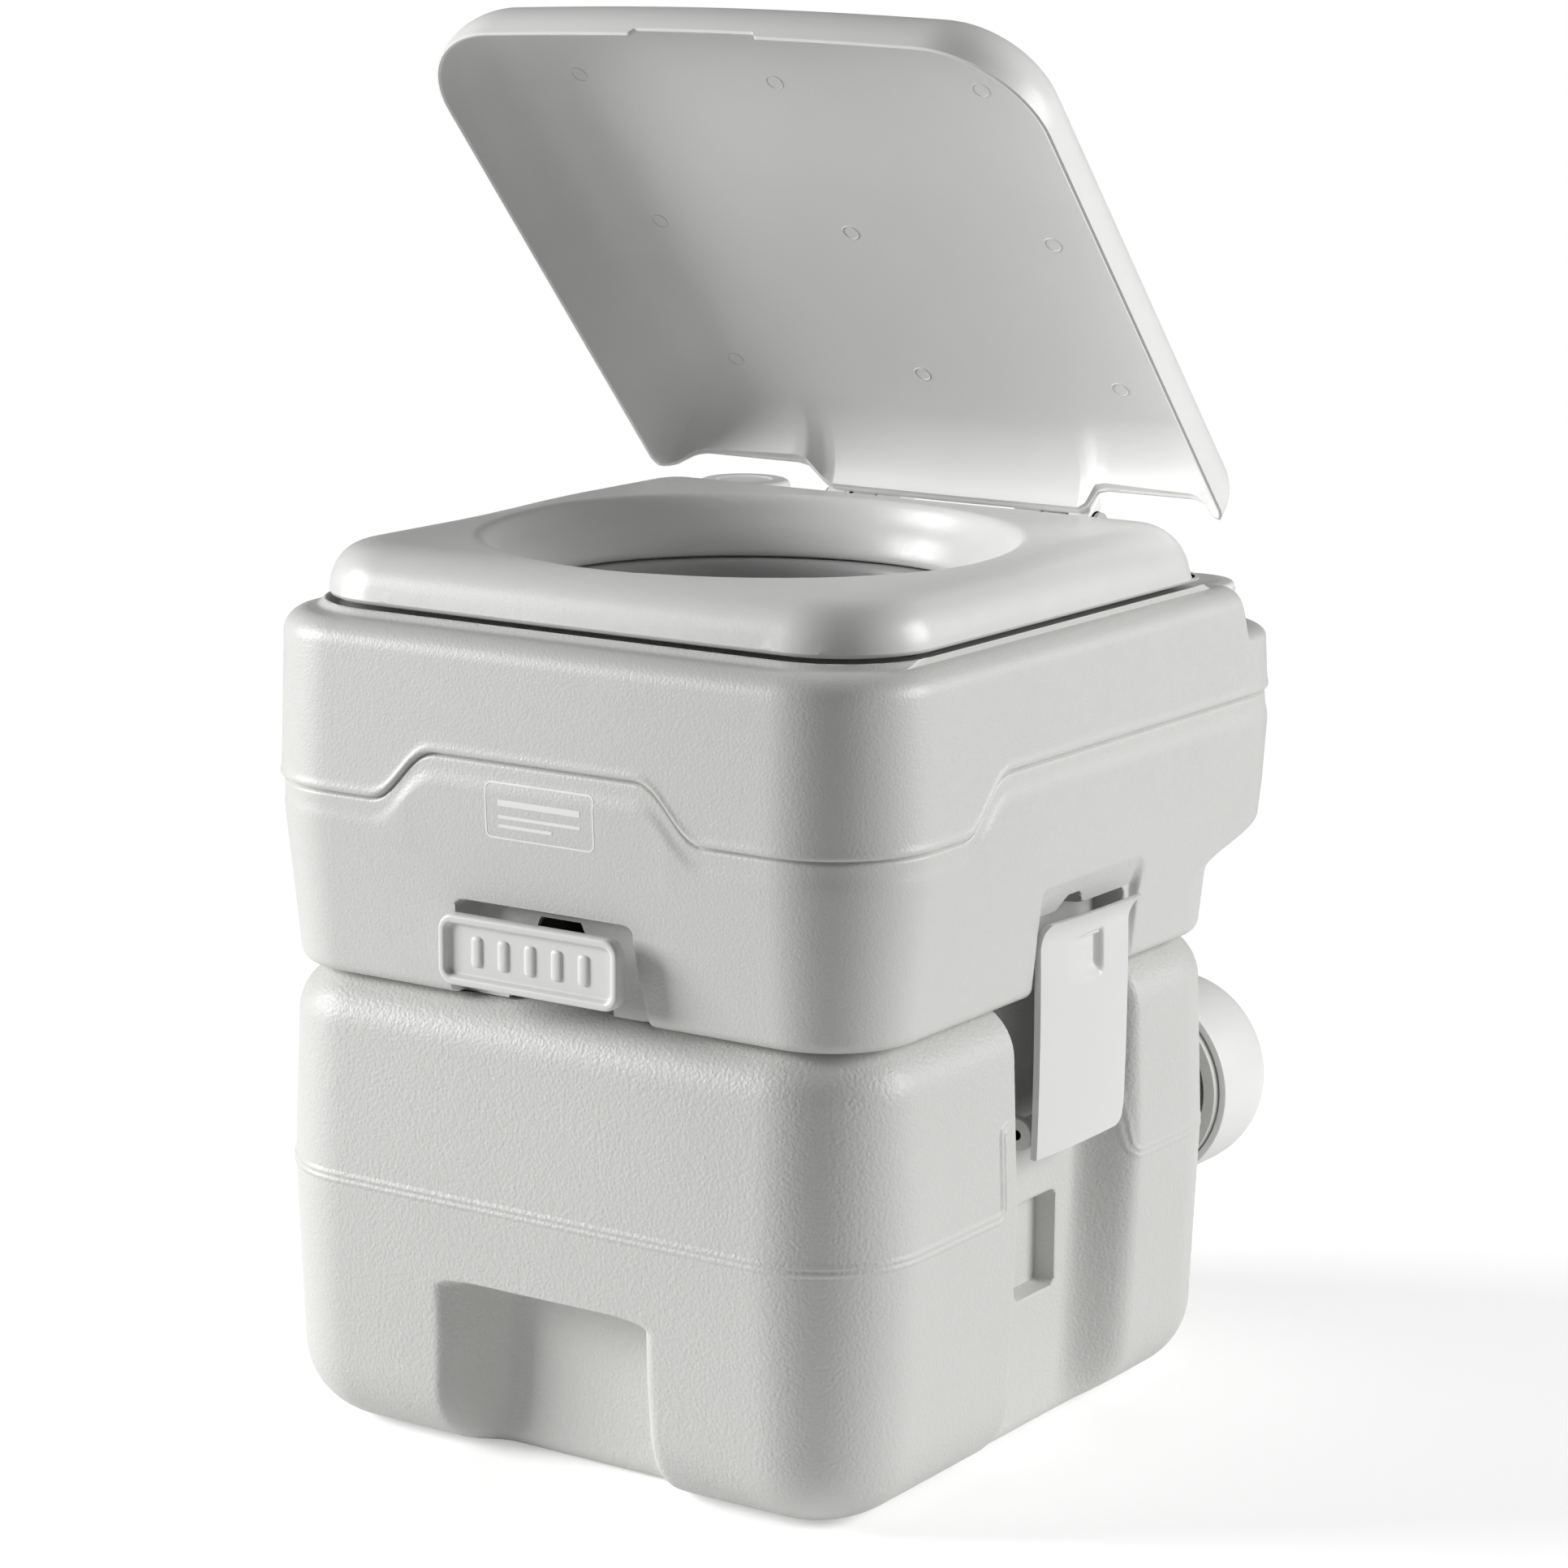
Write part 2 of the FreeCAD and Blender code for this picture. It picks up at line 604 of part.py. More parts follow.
def pull_handle():
    back = handle_face + handle_thickness
    plate = rounded_box(-handle_half_width, handle_half_width, handle_face, back, handle_low, handle_high,
                        handle_corner, Y_AXIS)
    rim = handle_rim
    dish = rounded_box(-handle_half_width + rim, handle_half_width - rim, handle_face - 1,
                       handle_face + handle_dish,                       handle_low + rim, handle_high - rim, handle_corner - rim / 2, Y_AXIS)
    z0, z1 = blade_low, blade_low + blade_thickness
    boss = box(-stem_half_width - 2, stem_half_width + 2, back, back + 13, z0 - 4, z1 + 4)
    socket = box(-stem_half_width, stem_half_width, back + 3, back + 14, z0, z1)
    pitch = grip_bar_pitch
    bars = [rounded_box(pitch * i - grip_bar_width / 2, pitch * i + grip_bar_width / 2, handle_face + 1.6,
                        handle_face + handle_dish, handle_low + 2 * rim, handle_high - 2 * rim, 3, Y_AXIS)
            for i in range(-2, 3)]
    return plate.cut(dish).fuse([boss] + bars).cut(socket)


def latch(side):
    """The right latch: a bowed plate with a lip above, a hook behind it and a knuckle below. side is 1 or -1."""
    inner = latch_face - latch_thickness
    plate = rounded_box(inner, latch_face, latch_front, latch_back, latch_low, latch_high, 4, X_AXIS)
    lip = rounded_box(inner, latch_face + latch_lip, latch_front, latch_back, latch_high - 3.5, latch_high, 3)
    thumb = box(latch_face - 1.4, latch_face + 1, latch_middle() + 6, latch_middle() + 26, latch_high - 34,
                latch_high - 14)
    knuckle_y0 = latch_ear_spans()[0][1] + 1
    knuckle_y1 = latch_ear_spans()[1][0] - 1
    eye = cylinder(6, V(latch_pivot_x, knuckle_y0, latch_pivot_z), V(latch_pivot_x, knuckle_y1, latch_pivot_z))
    web = box(latch_pivot_x, inner + 1, knuckle_y0, knuckle_y1, latch_pivot_z - 3, latch_pivot_z + 3)
    hook = box(latch_recess_x + 5, inner + 1, latch_middle() - hook_half_width, latch_middle() + hook_half_width,
               latch_high - 14, latch_high - 9)
    pin = cylinder(latch_pin_radius + turn_gap, V(latch_pivot_x, knuckle_y0 - 1, latch_pivot_z),
                   V(latch_pivot_x, knuckle_y1 + 1, latch_pivot_z))
    shape = plate.fuse([lip, eye, web, hook]).cut([pin, thumb])
    return shape if side > 0 else shape.mirror(V(0, 0, 0), X_AXIS)


def latch_pin(side):
    y0, y1 = latch_ear_spans()[0][0], latch_ear_spans()[1][1]
    x = side * latch_pivot_x
    return cylinder(latch_pin_radius, V(x, y0, latch_pivot_z), V(x, y1, latch_pivot_z))


def hinge_eye(x0, x1, radius):
    return cylinder(radius, V(x0, hinge_y, hinge_z), V(x1, hinge_y, hinge_z))


def hinge_bracket(side):
    post_outer = post_inner + post_width
    post = box(post_inner, post_outer, hinge_y - hinge_eye_radius, hinge_y + hinge_eye_radius, tank_high, hinge_z)
    foot = rounded_box(post_inner - hinge_foot_reach, post_outer + 4, hinge_y - hinge_foot_reach,
                       hinge_y + hinge_foot_reach, tank_high, tank_high + hinge_foot_height, 3)
    shape = post.fuse([foot, hinge_eye(post_inner, post_outer, hinge_eye_radius)])
    shape = shape.cut(hinge_eye(post_inner - 1, post_outer + 1, hinge_pin_radius))
    for x, y in hinge_screw_places():
        if x > 0:
            shape = shape.cut(cylinder(screw_hole_radius, V(x, y, tank_high - 1), V(x, y, hinge_z)))
    return shape if side > 0 else shape.mirror(V(0, 0, 0), X_AXIS)


def hinge_screws():
    return Part.makeCompound([slotted_screw(x, y, tank_high - hinge_screw_depth, tank_high + hinge_foot_height)
                              for x, y in hinge_screw_places()])


def hinge_pin(side):
    outer = knuckle_inner + knuckle_width + 1
    pin = hinge_eye(post_inner - 1, outer, hinge_pin_radius)
    head = hinge_eye(outer, outer + 2, hinge_pin_radius + 2.5)
    shape = pin.fuse(head)
    return shape if side > 0 else shape.mirror(V(0, 0, 0), X_AXIS)


def seat_hole(grow, low, high):
    """The seat's oval opening, straight at its lower edge and then wider towards the top."""
    straight = 2.0
    rise = (high - seat_low - straight) / (seat_thickness - straight)
    bottom = (seat_hole_low[0] + grow, seat_hole_low[1] + grow, seat_hole_low[2])
    top = (seat_hole_top[0] + grow, seat_hole_top[1] + grow, seat_hole_top[2])
    wide = [b + (t - b) * rise for b, t in zip(bottom, top)]
    wires = [ellipse(*bottom, low), ellipse(*bottom, seat_low + straight), ellipse(*wide, high)]
    return Part.makeLoft(wires, True, True)


def seat_body(skin, low):
    return block(seat_half_width - skin, seat_front + skin, seat_back - skin, seat_front_corner - skin, low,
                 seat_high - skin, seat_low, 0, 0, 0, seat_round - skin, seat_back_corner - skin)


def bumper_places():
    return [(s * bumper_x, y) for s in (1, -1) for y in (bumper_front, bumper_back)]


def seat():
    hollow = seat_body(panel_wall, seat_low - 5).cut(seat_hole(panel_wall, seat_low - 10, seat_high + 5))
    pads = [cylinder(9, V(x, y, seat_low - 6), V(x, y, seat_high)) for x, y in bumper_places()]
    shape = seat_body(0, seat_low).cut(seat_hole(0, seat_low - 10, seat_high + 5)).cut(hollow.cut(pads))
    arms = []
    for sign in (1, -1):
        x0, x1 = sorted((sign * arm_inner, sign * (arm_inner + arm_width)))
        arms += [box(x0, x1, seat_back - panel_wall, hinge_y, hinge_z - 7, hinge_z + 1), hinge_eye(x0, x1, 7)]
    bores = [hinge_eye(-100, 100, hinge_pin_radius + turn_gap)]
    return shape.fuse(arms).cut(bores)


def seat_bumpers():
    return Part.makeCompound([cylinder(8, V(x, y, tank_high + 0.2), V(x, y, seat_low)) for x, y in bumper_places()])


def lid_body(skin, low):
    return block(lid_half_width - skin, lid_front + skin, lid_tab_back + 60, lid_corner - skin, low,
                 lid_top_z - skin, lid_rim_z, 0, 0.03, 0, lid_round - skin, lid_corner)


def open_lid(shape):
    shape.rotate(V(0, hinge_y, hinge_z), V(-1, 0, 0), lid_open_angle)
    return shape


def lid_closed():
    shell = lid_body(0, lid_rim_z).cut(lid_body(panel_wall, lid_rim_z - 5))
    far = lid_half_width + 20
    trims = both_sides(box(lid_tab_half_width, far, lid_ear_back, far * 2, 300, 500))
    trims += both_sides(box(lid_tab_half_width + 4, lid_notch_outer, lid_notch_front, far * 2, 300, 500))
    trims.append(box(-far, far, lid_tab_back, far * 2, 300, 500))
    shell = shell.cut(trims)
    back = box(-lid_tab_half_width, lid_tab_half_width, lid_tab_back - panel_wall, lid_tab_back,
               hinge_z + 10, lid_top_z - 1)
    webs = []
    for sign in (1, -1):
        x0, x1 = sorted((sign * knuckle_inner, sign * (knuckle_inner + knuckle_width)))
        webs += [box(x0, x1, hinge_y - 14, hinge_y, hinge_z, lid_top_z - 1), hinge_eye(x0, x1, 8)]
        cheek = box(x0, x1, hinge_y - 14, lid_tab_back, hinge_z - 5, hinge_z + 12)
        webs.append(cheek)
    bore = hinge_eye(-100, 100, hinge_pin_radius + turn_gap)
    trim_back = box(-far, far, hinge_y - 0.01, far * 2, hinge_z + 8.5, 500)
    return shell.fuse([back] + webs).cut([bore, trim_back])


def pump_cylinder():
    outer = pump_bore + pump_wall
    tube = ring(outer, pump_bore, V(pump_x, pump_y, shelf_z - pump_length), V(pump_x, pump_y, shelf_z))
    flange = ring(outer + 5, pump_bore, V(pump_x, pump_y, shelf_z), V(pump_x, pump_y, shelf_z + 2.4))
    start, end = flush_points()
    port = cylinder(flush_tube_radius - 1.5, start, start + (end - start) * 0.3)
    return tube.fuse(flange).cut(port)


def pump_foot():
    """The inlet valve's cage, closing the cylinder's lower end."""
    z = shelf_z - pump_length
    outer = pump_bore + pump_wall
    cup = cylinder(outer, V(pump_x, pump_y, z - 7), V(pump_x, pump_y, z))
    ports = [cylinder(2.5, V(pump_x + 8 * math.cos(a), pump_y + 8 * math.sin(a), z - 8),
                      V(pump_x + 8 * math.cos(a), pump_y + 8 * math.sin(a), z + 1))
             for a in (math.radians(60 * i) for i in range(6))]
    return cup.cut(ports)


def pump_collar():
    """The screwed cap that holds the pump in the shelf and guides its rod."""
    z = shelf_z + 2.4
    body = cylinder(pump_bore + pump_wall + 5, V(pump_x, pump_y, z), V(pump_x, pump_y, z + 13))
    body = body.makeChamfer(2, [e for e in body.Edges if abs(e.BoundBox.ZMin - z - 13) < 0.01 and e.Closed])
    return body.cut([cylinder(pump_rod_radius + turn_gap, V(pump_x, pump_y, z - 1), V(pump_x, pump_y, z + 20)),
                     cylinder(pump_bore, V(pump_x, pump_y, z - 1), V(pump_x, pump_y, z + 4))])


def pump_rod():
    top = shelf_z + pump_knob_lift
    rod = cylinder(pump_rod_radius, V(pump_x, pump_y, top - 104), V(pump_x, pump_y, top))
    return rod


def pump_piston():
    low = shelf_z + pump_knob_lift - 110
    return cylinder(pump_bore - 0.4, V(pump_x, pump_y, low), V(pump_x, pump_y, low + 10)).cut(
        [cylinder(pump_rod_radius, V(pump_x, pump_y, low + 6), V(pump_x, pump_y, low + 11)),
         ring(pump_bore, pump_bore - 2.5, V(pump_x, pump_y, low + 3), V(pump_x, pump_y, low + 6))])


def piston_seal():
    low = shelf_z + pump_knob_lift - 107
    return ring(pump_bore - turn_gap, pump_bore - 2.5, V(pump_x, pump_y, low), V(pump_x, pump_y, low + 3))


def pump_knob():
    low = shelf_z + pump_knob_lift
    disc = cylinder(pump_knob_radius, V(pump_x, pump_y, low), V(pump_x, pump_y, low + pump_knob_height))
    top_edges = [e for e in disc.Edges if e.Closed and e.BoundBox.ZMin > low + 1]
    disc = disc.makeFillet(4, top_edges)
    under = ring(pump_knob_radius - 2.5, 10, V(pump_x, pump_y, low - 1), V(pump_x, pump_y, low + pump_knob_height - 3))
    return disc.cut(under)


def filler_cap():
    low = shelf_z + 1.4
    cup = cylinder(filler_cap_radius, V(filler_x, filler_y, low), V(filler_x, filler_y, low + filler_cap_height))
    cup = cup.makeFillet(2.5, [e for e in cup.Edges if e.Closed and e.BoundBox.ZMin > low + 1])
    hollow = cylinder(filler_bore + 3 + free_gap, V(filler_x, filler_y, low - 1),
                      V(filler_x, filler_y, low + filler_cap_height - 4))
    return cup.cut(hollow)


def filler_gasket():
    top = shelf_z + 1.4 + filler_cap_height - 4
    return ring(filler_bore + 3, filler_bore, V(filler_x, filler_y, top - 0.7), V(filler_x, filler_y, top))


def along_spout(y):
    return V(spout_x, y, spout_z)


def spout_ring():
    """The locking ring on the tank's neck that the spout turns on."""
    end = spout_start + 7
    body = ring(spout_bore + neck_wall + spout_ring_width, spout_bore + neck_wall, along_spout(neck_end - 8),
                along_spout(end))
    shoulder = ring(spout_bore + neck_wall, spout_bore, along_spout(neck_end), along_spout(end))
    return body.fuse(shoulder)


def spout_seal():
    end = spout_start + 7
    return ring(spout_bore + neck_wall + 3, spout_bore + 1, along_spout(end), along_spout(end + 1.8))


def spout():
    """The swivel spout: a round head over the neck, with the pouring tube to one side."""
    inner_face = spout_start + 7 + 1.8 + free_gap
    end = spout_start + spout_depth
    head = cylinder(spout_radius, along_spout(spout_start), along_spout(end))
    head = head.makeFillet(spout_round, [e for e in head.Edges if e.Closed and e.BoundBox.YMin > end - 1])
    tube_y = inner_face + spout_tube_radius + 0.3
    tube_end = V(spout_x - spout_tube_reach, tube_y, spout_z)
    tube = cylinder(spout_tube_radius, V(spout_x, tube_y, spout_z), tube_end)
    skirt_radius = spout_bore + neck_wall + spout_ring_width + free_gap
    skirt = cylinder(skirt_radius, along_spout(spout_start - 1), along_spout(inner_face))
    chamber = cylinder(spout_radius - spout_wall - 1, along_spout(inner_face - 1), along_spout(end - spout_wall))
    chamber = chamber.makeFillet(spout_round - spout_wall,
                                 [e for e in chamber.Edges if e.Closed and e.BoundBox.YMin > end - spout_wall - 1])
    bore = cylinder(spout_tube_radius - spout_wall, V(spout_x, tube_y, spout_z), tube_end - V(1, 0, 0))
    return head.fuse(tube).cut([skirt, chamber, bore])


def spout_cap():
    inner_face = spout_start + 7 + 1.8 + free_gap
    tube_y = inner_face + spout_tube_radius + 0.3
    end_x = spout_x - spout_tube_reach
    open_x = end_x + spout_cap_length - 4
    cup = cylinder(spout_cap_radius, V(end_x - 4, tube_y, spout_z), V(open_x, tube_y, spout_z))
    cup = cup.makeFillet(2.5, [e for e in cup.Edges if e.Closed and e.BoundBox.XMax < end_x])
    return cup.cut(cylinder(spout_tube_radius + free_gap, V(end_x - 0.5, tube_y, spout_z), V(open_x + 1, tube_y, spout_z)))


def main():
    os.makedirs("parts", exist_ok=True)
    top = valve_low + valve_base_height
    nodes = {
        **waste_panels(),
        **water_panels(),
        "bowl": bowl(),
        "flush_nozzle": nozzle(),
        "flush_tube": flush_tube(),
        "valve_base": valve_base(),
        "valve_cover": valve_cover(),
        "valve_screws": valve_screws(),
        "gate_seal": seal_ring(outlet_radius + 6, outlet_radius + 2, top - 3, top),
        "valve_gasket": seal_ring(outlet_radius + 11, outlet_radius + 5, valve_low, valve_low + 2),
        "bowl_seal": seal_ring(outlet_radius + 9, outlet_radius, cover_high, bowl_low),
        "gate_blade": gate_blade(),
        "pull_handle": pull_handle(),
        "latch_right": latch(1),
        "latch_left": latch(-1),
        "latch_pin_right": latch_pin(1),
        "latch_pin_left": latch_pin(-1),
        "hinge_bracket_right": hinge_bracket(1),
        "hinge_bracket_left": hinge_bracket(-1),
        "hinge_pin_right": hinge_pin(1),
        "hinge_pin_left": hinge_pin(-1),
        "hinge_screws": hinge_screws(),
        **seat_panels(),
        "seat_bumpers": seat_bumpers(),
        **lid_panels(),
        "pump_cylinder": pump_cylinder(),
        "pump_foot_valve": pump_foot(),
        "pump_collar": pump_collar(),
        "pump_rod": pump_rod(),
        "pump_piston": pump_piston(),
        "piston_seal": piston_seal(),
        "pump_knob": pump_knob(),
        "filler_cap": filler_cap(),
        "filler_gasket": filler_gasket(),
        "spout_ring": spout_ring(),
        "spout_seal": spout_seal(),
        "spout": spout(),
        "spout_cap": spout_cap(),
    }
    for name, shape in nodes.items():
        shape = shape.removeSplitter() if shape.ShapeType != "Compound" or len(shape.Solids) == 1 else shape
        solids = shape.Solids
        print(name, "solids", len(solids), "valid", shape.isValid(), "volume", round(sum(s.Volume for s in solids)))
        shape.exportStep(os.path.join("parts", name + ".step"))


main()
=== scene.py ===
import json
import math
import bpy
import bmesh
import numpy as np
from mathutils import Matrix, Vector
from mathutils.bvhtree import BVHTree


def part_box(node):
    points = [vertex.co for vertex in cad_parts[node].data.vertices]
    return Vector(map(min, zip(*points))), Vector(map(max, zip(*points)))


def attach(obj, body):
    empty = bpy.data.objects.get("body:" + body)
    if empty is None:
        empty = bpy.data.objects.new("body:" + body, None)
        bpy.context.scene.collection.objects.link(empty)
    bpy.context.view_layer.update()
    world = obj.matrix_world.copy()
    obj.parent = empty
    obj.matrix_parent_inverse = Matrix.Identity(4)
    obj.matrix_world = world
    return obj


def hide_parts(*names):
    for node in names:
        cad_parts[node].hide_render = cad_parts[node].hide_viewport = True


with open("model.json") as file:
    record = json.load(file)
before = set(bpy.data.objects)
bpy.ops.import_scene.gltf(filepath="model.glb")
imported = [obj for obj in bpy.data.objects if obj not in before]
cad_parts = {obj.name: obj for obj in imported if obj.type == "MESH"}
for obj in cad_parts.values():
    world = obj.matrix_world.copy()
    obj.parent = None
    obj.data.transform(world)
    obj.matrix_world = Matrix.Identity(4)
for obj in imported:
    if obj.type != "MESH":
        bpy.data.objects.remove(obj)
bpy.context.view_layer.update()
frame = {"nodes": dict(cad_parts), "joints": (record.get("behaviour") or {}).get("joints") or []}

mm = 0.001


# small helpers
def smooth(t):
    t = np.clip(t, 0.0, 1.0)
    return t * t * t * (t * (6 * t - 15) + 10)


def boxMm(node):
    low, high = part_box(node)
    return [v / mm for v in low], [v / mm for v in high]


def stations(low, high, gap, marks=()):
    # even steps with closer ones round each mark: (place, reach, count)
    line = list(np.linspace(low, high, max(2, int(round((high - low) / gap)) + 1)))
    for place, reach, count in marks:
        line += list(np.linspace(place - reach, place + reach, count))
    line = sorted(v for v in line if low <= v <= high)
    kept = [line[0]]
    for v in line[1:]:
        if v - kept[-1] > 0.45:
            kept.append(v)
    kept[-1] = high
    return np.array(kept)


def planColumns(spec, frontMarks=(), sideMarks=(), backMarks=(), gap=4.0, turns=22):
    # points and outward normals round a rounded rectangle, anticlockwise from the front left
    w, f, b, r = spec["halfWidth"], spec["front"], spec["back"], spec["corner"]
    rb = spec.get("backCorner", r)
    pts, nrm = [], []

    def arc(cx, cy, r, start):
        for i in range(1, turns):
            a = math.radians(start + 90.0 * i / turns)
            pts.append((cx + r * math.cos(a), cy + r * math.sin(a)))
            nrm.append((math.cos(a), math.sin(a)))

    for x in stations(-w + r, w - r, gap, frontMarks):
        pts.append((x, f)); nrm.append((0.0, -1.0))
    arc(w - r, f + r, r, 270)
    for y in stations(f + r, b - rb, gap, sideMarks):
        pts.append((w, y)); nrm.append((1.0, 0.0))
    arc(w - rb, b - rb, rb, 0)
    for x in stations(-w + rb, w - rb, gap, backMarks)[::-1]:
        pts.append((x, b)); nrm.append((0.0, 1.0))
    arc(-w + rb, b - rb, rb, 90)
    for y in stations(f + r, b - rb, gap, sideMarks)[::-1]:
        pts.append((-w, y)); nrm.append((-1.0, 0.0))
    arc(-w + r, f + r, r, 180)
    return np.array(pts), np.array(nrm)


def linked(name, data):
    obj = bpy.data.objects.new(name, data)
    bpy.context.scene.collection.objects.link(obj)
    return obj


def surfaceTree(obj):
    mesh = obj.data
    return BVHTree.FromPolygons([tuple(v.co) for v in mesh.vertices], [tuple(p.vertices) for p in mesh.polygons])


def rowAt(xy, z):
    # plan points with one height for all, or one each
    return np.column_stack([xy, np.broadcast_to(z, len(xy))])


def meshObject(name, verts, faces, materials, sharpAngle=None):
    mesh = bpy.data.meshes.new(name)
    mesh.from_pydata([tuple(v) for v in verts], [], faces)
    mesh.validate()
    for mat in materials:
        mesh.materials.append(mat)
    for poly in mesh.polygons:
        poly.use_smooth = True
    mesh.update()
    if sharpAngle is not None:
        mesh.set_sharp_from_angle(angle=math.radians(sharpAngle))
    return linked(name, mesh)


def gridObject(name, rows, materials, closeRows=False, poles=(False, False), closeCols=True, sharpAngle=None,
        flip=False):
    # rows: array of rows x columns x 3, millimetres
    rows = np.asarray(rows, dtype=float)
    nr, nc = rows.shape[:2]
    verts = list(map(tuple, rows.reshape(-1, 3) * mm))
    faces = []
    for r in range(nr if closeRows else nr - 1):
        r2 = (r + 1) % nr
        for c in range(nc if closeCols else nc - 1):
            c2 = (c + 1) % nc
            quad = (r * nc + c, r * nc + c2, r2 * nc + c2, r2 * nc + c)
            faces.append(quad[::-1] if flip else quad)
    for which, wanted in zip((0, nr - 1), poles):
        if not wanted:
            continue
        verts.append(tuple(rows[which].mean(axis=0) * mm))
        hub = len(verts) - 1
        for c in range(nc):
            c2 = (c + 1) % nc
            tri = (hub, which * nc + c2, which * nc + c) if which == 0 else (hub, which * nc + c, which * nc + c2)
            faces.append(tri[::-1] if flip else tri)
    return meshObject(name, verts, faces, materials, sharpAngle)


def roundedDistance(a, b, radius):
    # distance inside an outline from two edges, with the corner between them rounded
    ca, cb = np.maximum(radius - a, 0), np.maximum(radius - b, 0)
    corner = radius - np.sqrt(ca * ca + cb * cb)
    return np.where((ca > 0) & (cb > 0), corner, np.minimum(a, b))


def pushTo(value, target, mask, sign):
    # moves value towards target only where that goes inwards; sign is the outward direction
    depth = np.maximum((value - target) * sign, 0.0)
    return value - sign * depth * mask


def roundPath(points, radius, steps=6):
    # a polyline with its corners rounded
    out = [points[0]]
    for a, b, c in zip(points[:-2], points[1:-1], points[2:]):
        a, b, c = np.array(a), np.array(b), np.array(c)
        u, v = (a - b) / np.linalg.norm(a - b), (c - b) / np.linalg.norm(c - b)
        half = math.acos(float(np.clip(u @ v, -1, 1))) / 2
        cut = min(radius / math.tan(half), np.linalg.norm(a - b) * 0.49, np.linalg.norm(c - b) * 0.49)
        p0, p1 = b + u * cut, b + v * cut
        for i in range(steps + 1):
            t = i / steps
            out.append(tuple((1 - t) ** 2 * p0 + 2 * t * (1 - t) * b + t * t * p1))
    out.append(points[-1])
    return out


def latheObject(name, profile, centre, axis, materials, turns=96, sharpAngle=35, closed=True):
    # profile: (radius, distance along the axis) pairs; a radius of 0 at an end makes a pole
    profile = [(max(r, 0.0), h) for r, h in profile]
    axisV = Vector(axis).normalized()
    side = Vector((1, 0, 0)) if abs(axisV.x) < 0.9 else Vector((0, 0, 1))
    u = axisV.cross(side).normalized()
    v = axisV.cross(u)
    first = 1 if profile[0][0] == 0 else 0
    last = len(profile) - 1 if profile[-1][0] == 0 else len(profile)
    rows = []
    for r, h in profile[first:last]:
        a = np.linspace(0, 2 * math.pi, turns, endpoint=False)
        rows.append([tuple(Vector(centre) + axisV * h + u * (r * math.cos(t)) + v * (r * math.sin(t))) for t in a])
    obj = gridObject(name, rows, materials, closeRows=closed and first == 0 and last == len(profile))
    bm = bmesh.new()
    bm.from_mesh(obj.data)
    bm.verts.ensure_lookup_table()
    n = len(rows)
    for wanted, row, h in ((first == 1, 0, profile[0][1]), (last == len(profile) - 1, n - 1, profile[-1][1])):
        if wanted:
            hub = bm.verts.new((Vector(centre) + axisV * h) * mm)
            bm.verts.ensure_lookup_table()
            ringVerts = [bm.verts[row * turns + i] for i in range(turns)]
            for i in range(turns):
                bm.faces.new((hub, ringVerts[i], ringVerts[(i + 1) % turns]))
    bmesh.ops.recalc_face_normals(bm, faces=bm.faces)
    for f in bm.faces:
        f.smooth = True
    bm.to_mesh(obj.data)
    bm.free()
    if sharpAngle is not None:
        obj.data.set_sharp_from_angle(angle=math.radians(sharpAngle))
    return obj


def roundProfile(points, radii, steps=5):
    # a lathe profile with its corners rounded, one radius for each inner corner
    out = [points[0]]
    for i in range(1, len(points) - 1):
        r = radii[i - 1]
        if r <= 0:
            out.append(points[i])
            continue
        out += roundPath([points[i - 1], points[i], points[i + 1]], r, steps)[1:-1]
    out.append(points[-1])
    return out


def bevelled(name, build, materials, width=0.8, segments=3, angle=32):
    # build(bm) adds the shape in millimetres; its edges are then rounded
    bm = bmesh.new()
    build(bm)
    bmesh.ops.remove_doubles(bm, verts=bm.verts, dist=0.01)
    bmesh.ops.recalc_face_normals(bm, faces=bm.faces)
    if width:
        edges = [e for e in bm.edges if len(e.link_faces) == 2 and
                e.calc_face_angle(0) > math.radians(angle)]
        bmesh.ops.bevel(bm, geom=edges, offset=width, segments=segments, profile=0.5, affect="EDGES",
                clamp_overlap=True)
    bmesh.ops.scale(bm, vec=(mm, mm, mm), verts=bm.verts)
    for f in bm.faces:
        f.smooth = True
    mesh = bpy.data.meshes.new(name)
    bm.to_mesh(mesh)
    bm.free()
    for mat in materials:
        mesh.materials.append(mat)
    mesh.set_sharp_from_angle(angle=math.radians(50))
    return linked(name, mesh)


def addBlock(bm, x0, x1, y0, y1, z0, z1):
    made = bmesh.ops.create_cube(bm, size=1.0)["verts"]
    for v in made:
        v.co = Vector((x0 + (v.co.x + 0.5) * (x1 - x0), y0 + (v.co.y + 0.5) * (y1 - y0),
                z0 + (v.co.z + 0.5) * (z1 - z0)))
    return made


def addPrism(bm, outline, axis, low, high):
    # outline: (a, b) pairs in the plane across the axis, in order
    place = {"x": lambda a, b, h: (h, a, b), "y": lambda a, b, h: (a, h, b), "z": lambda a, b, h: (a, b, h)}[axis]
    lowVerts = [bm.verts.new(place(a, b, low)) for a, b in outline]
    highVerts = [bm.verts.new(place(a, b, high)) for a, b in outline]
    n = len(outline)
    bm.faces.new(lowVerts)
    bm.faces.new(highVerts[::-1])
    for i in range(n):
        bm.faces.new((lowVerts[i], highVerts[i], highVerts[(i + 1) % n], lowVerts[(i + 1) % n]))
    return lowVerts + highVerts


def joinObjects(name, objects):
    # several meshes made one object, each face keeping its material
    mesh = bpy.data.meshes.new(name)
    bm = bmesh.new()
    mats = []
    for obj in objects:
        start = len(bm.faces)
        bm.from_mesh(obj.data)
        bm.faces.ensure_lookup_table()
        for f in bm.faces[start:]:
            mat = obj.data.materials[f.material_index]
            if mat not in mats:
                mats.append(mat)
            f.material_index = mats.index(mat)
    bm.to_mesh(mesh)
    bm.free()
    for mat in mats:
        mesh.materials.append(mat)
    for obj in objects:
        bpy.data.objects.remove(obj)
    return linked(name, mesh)


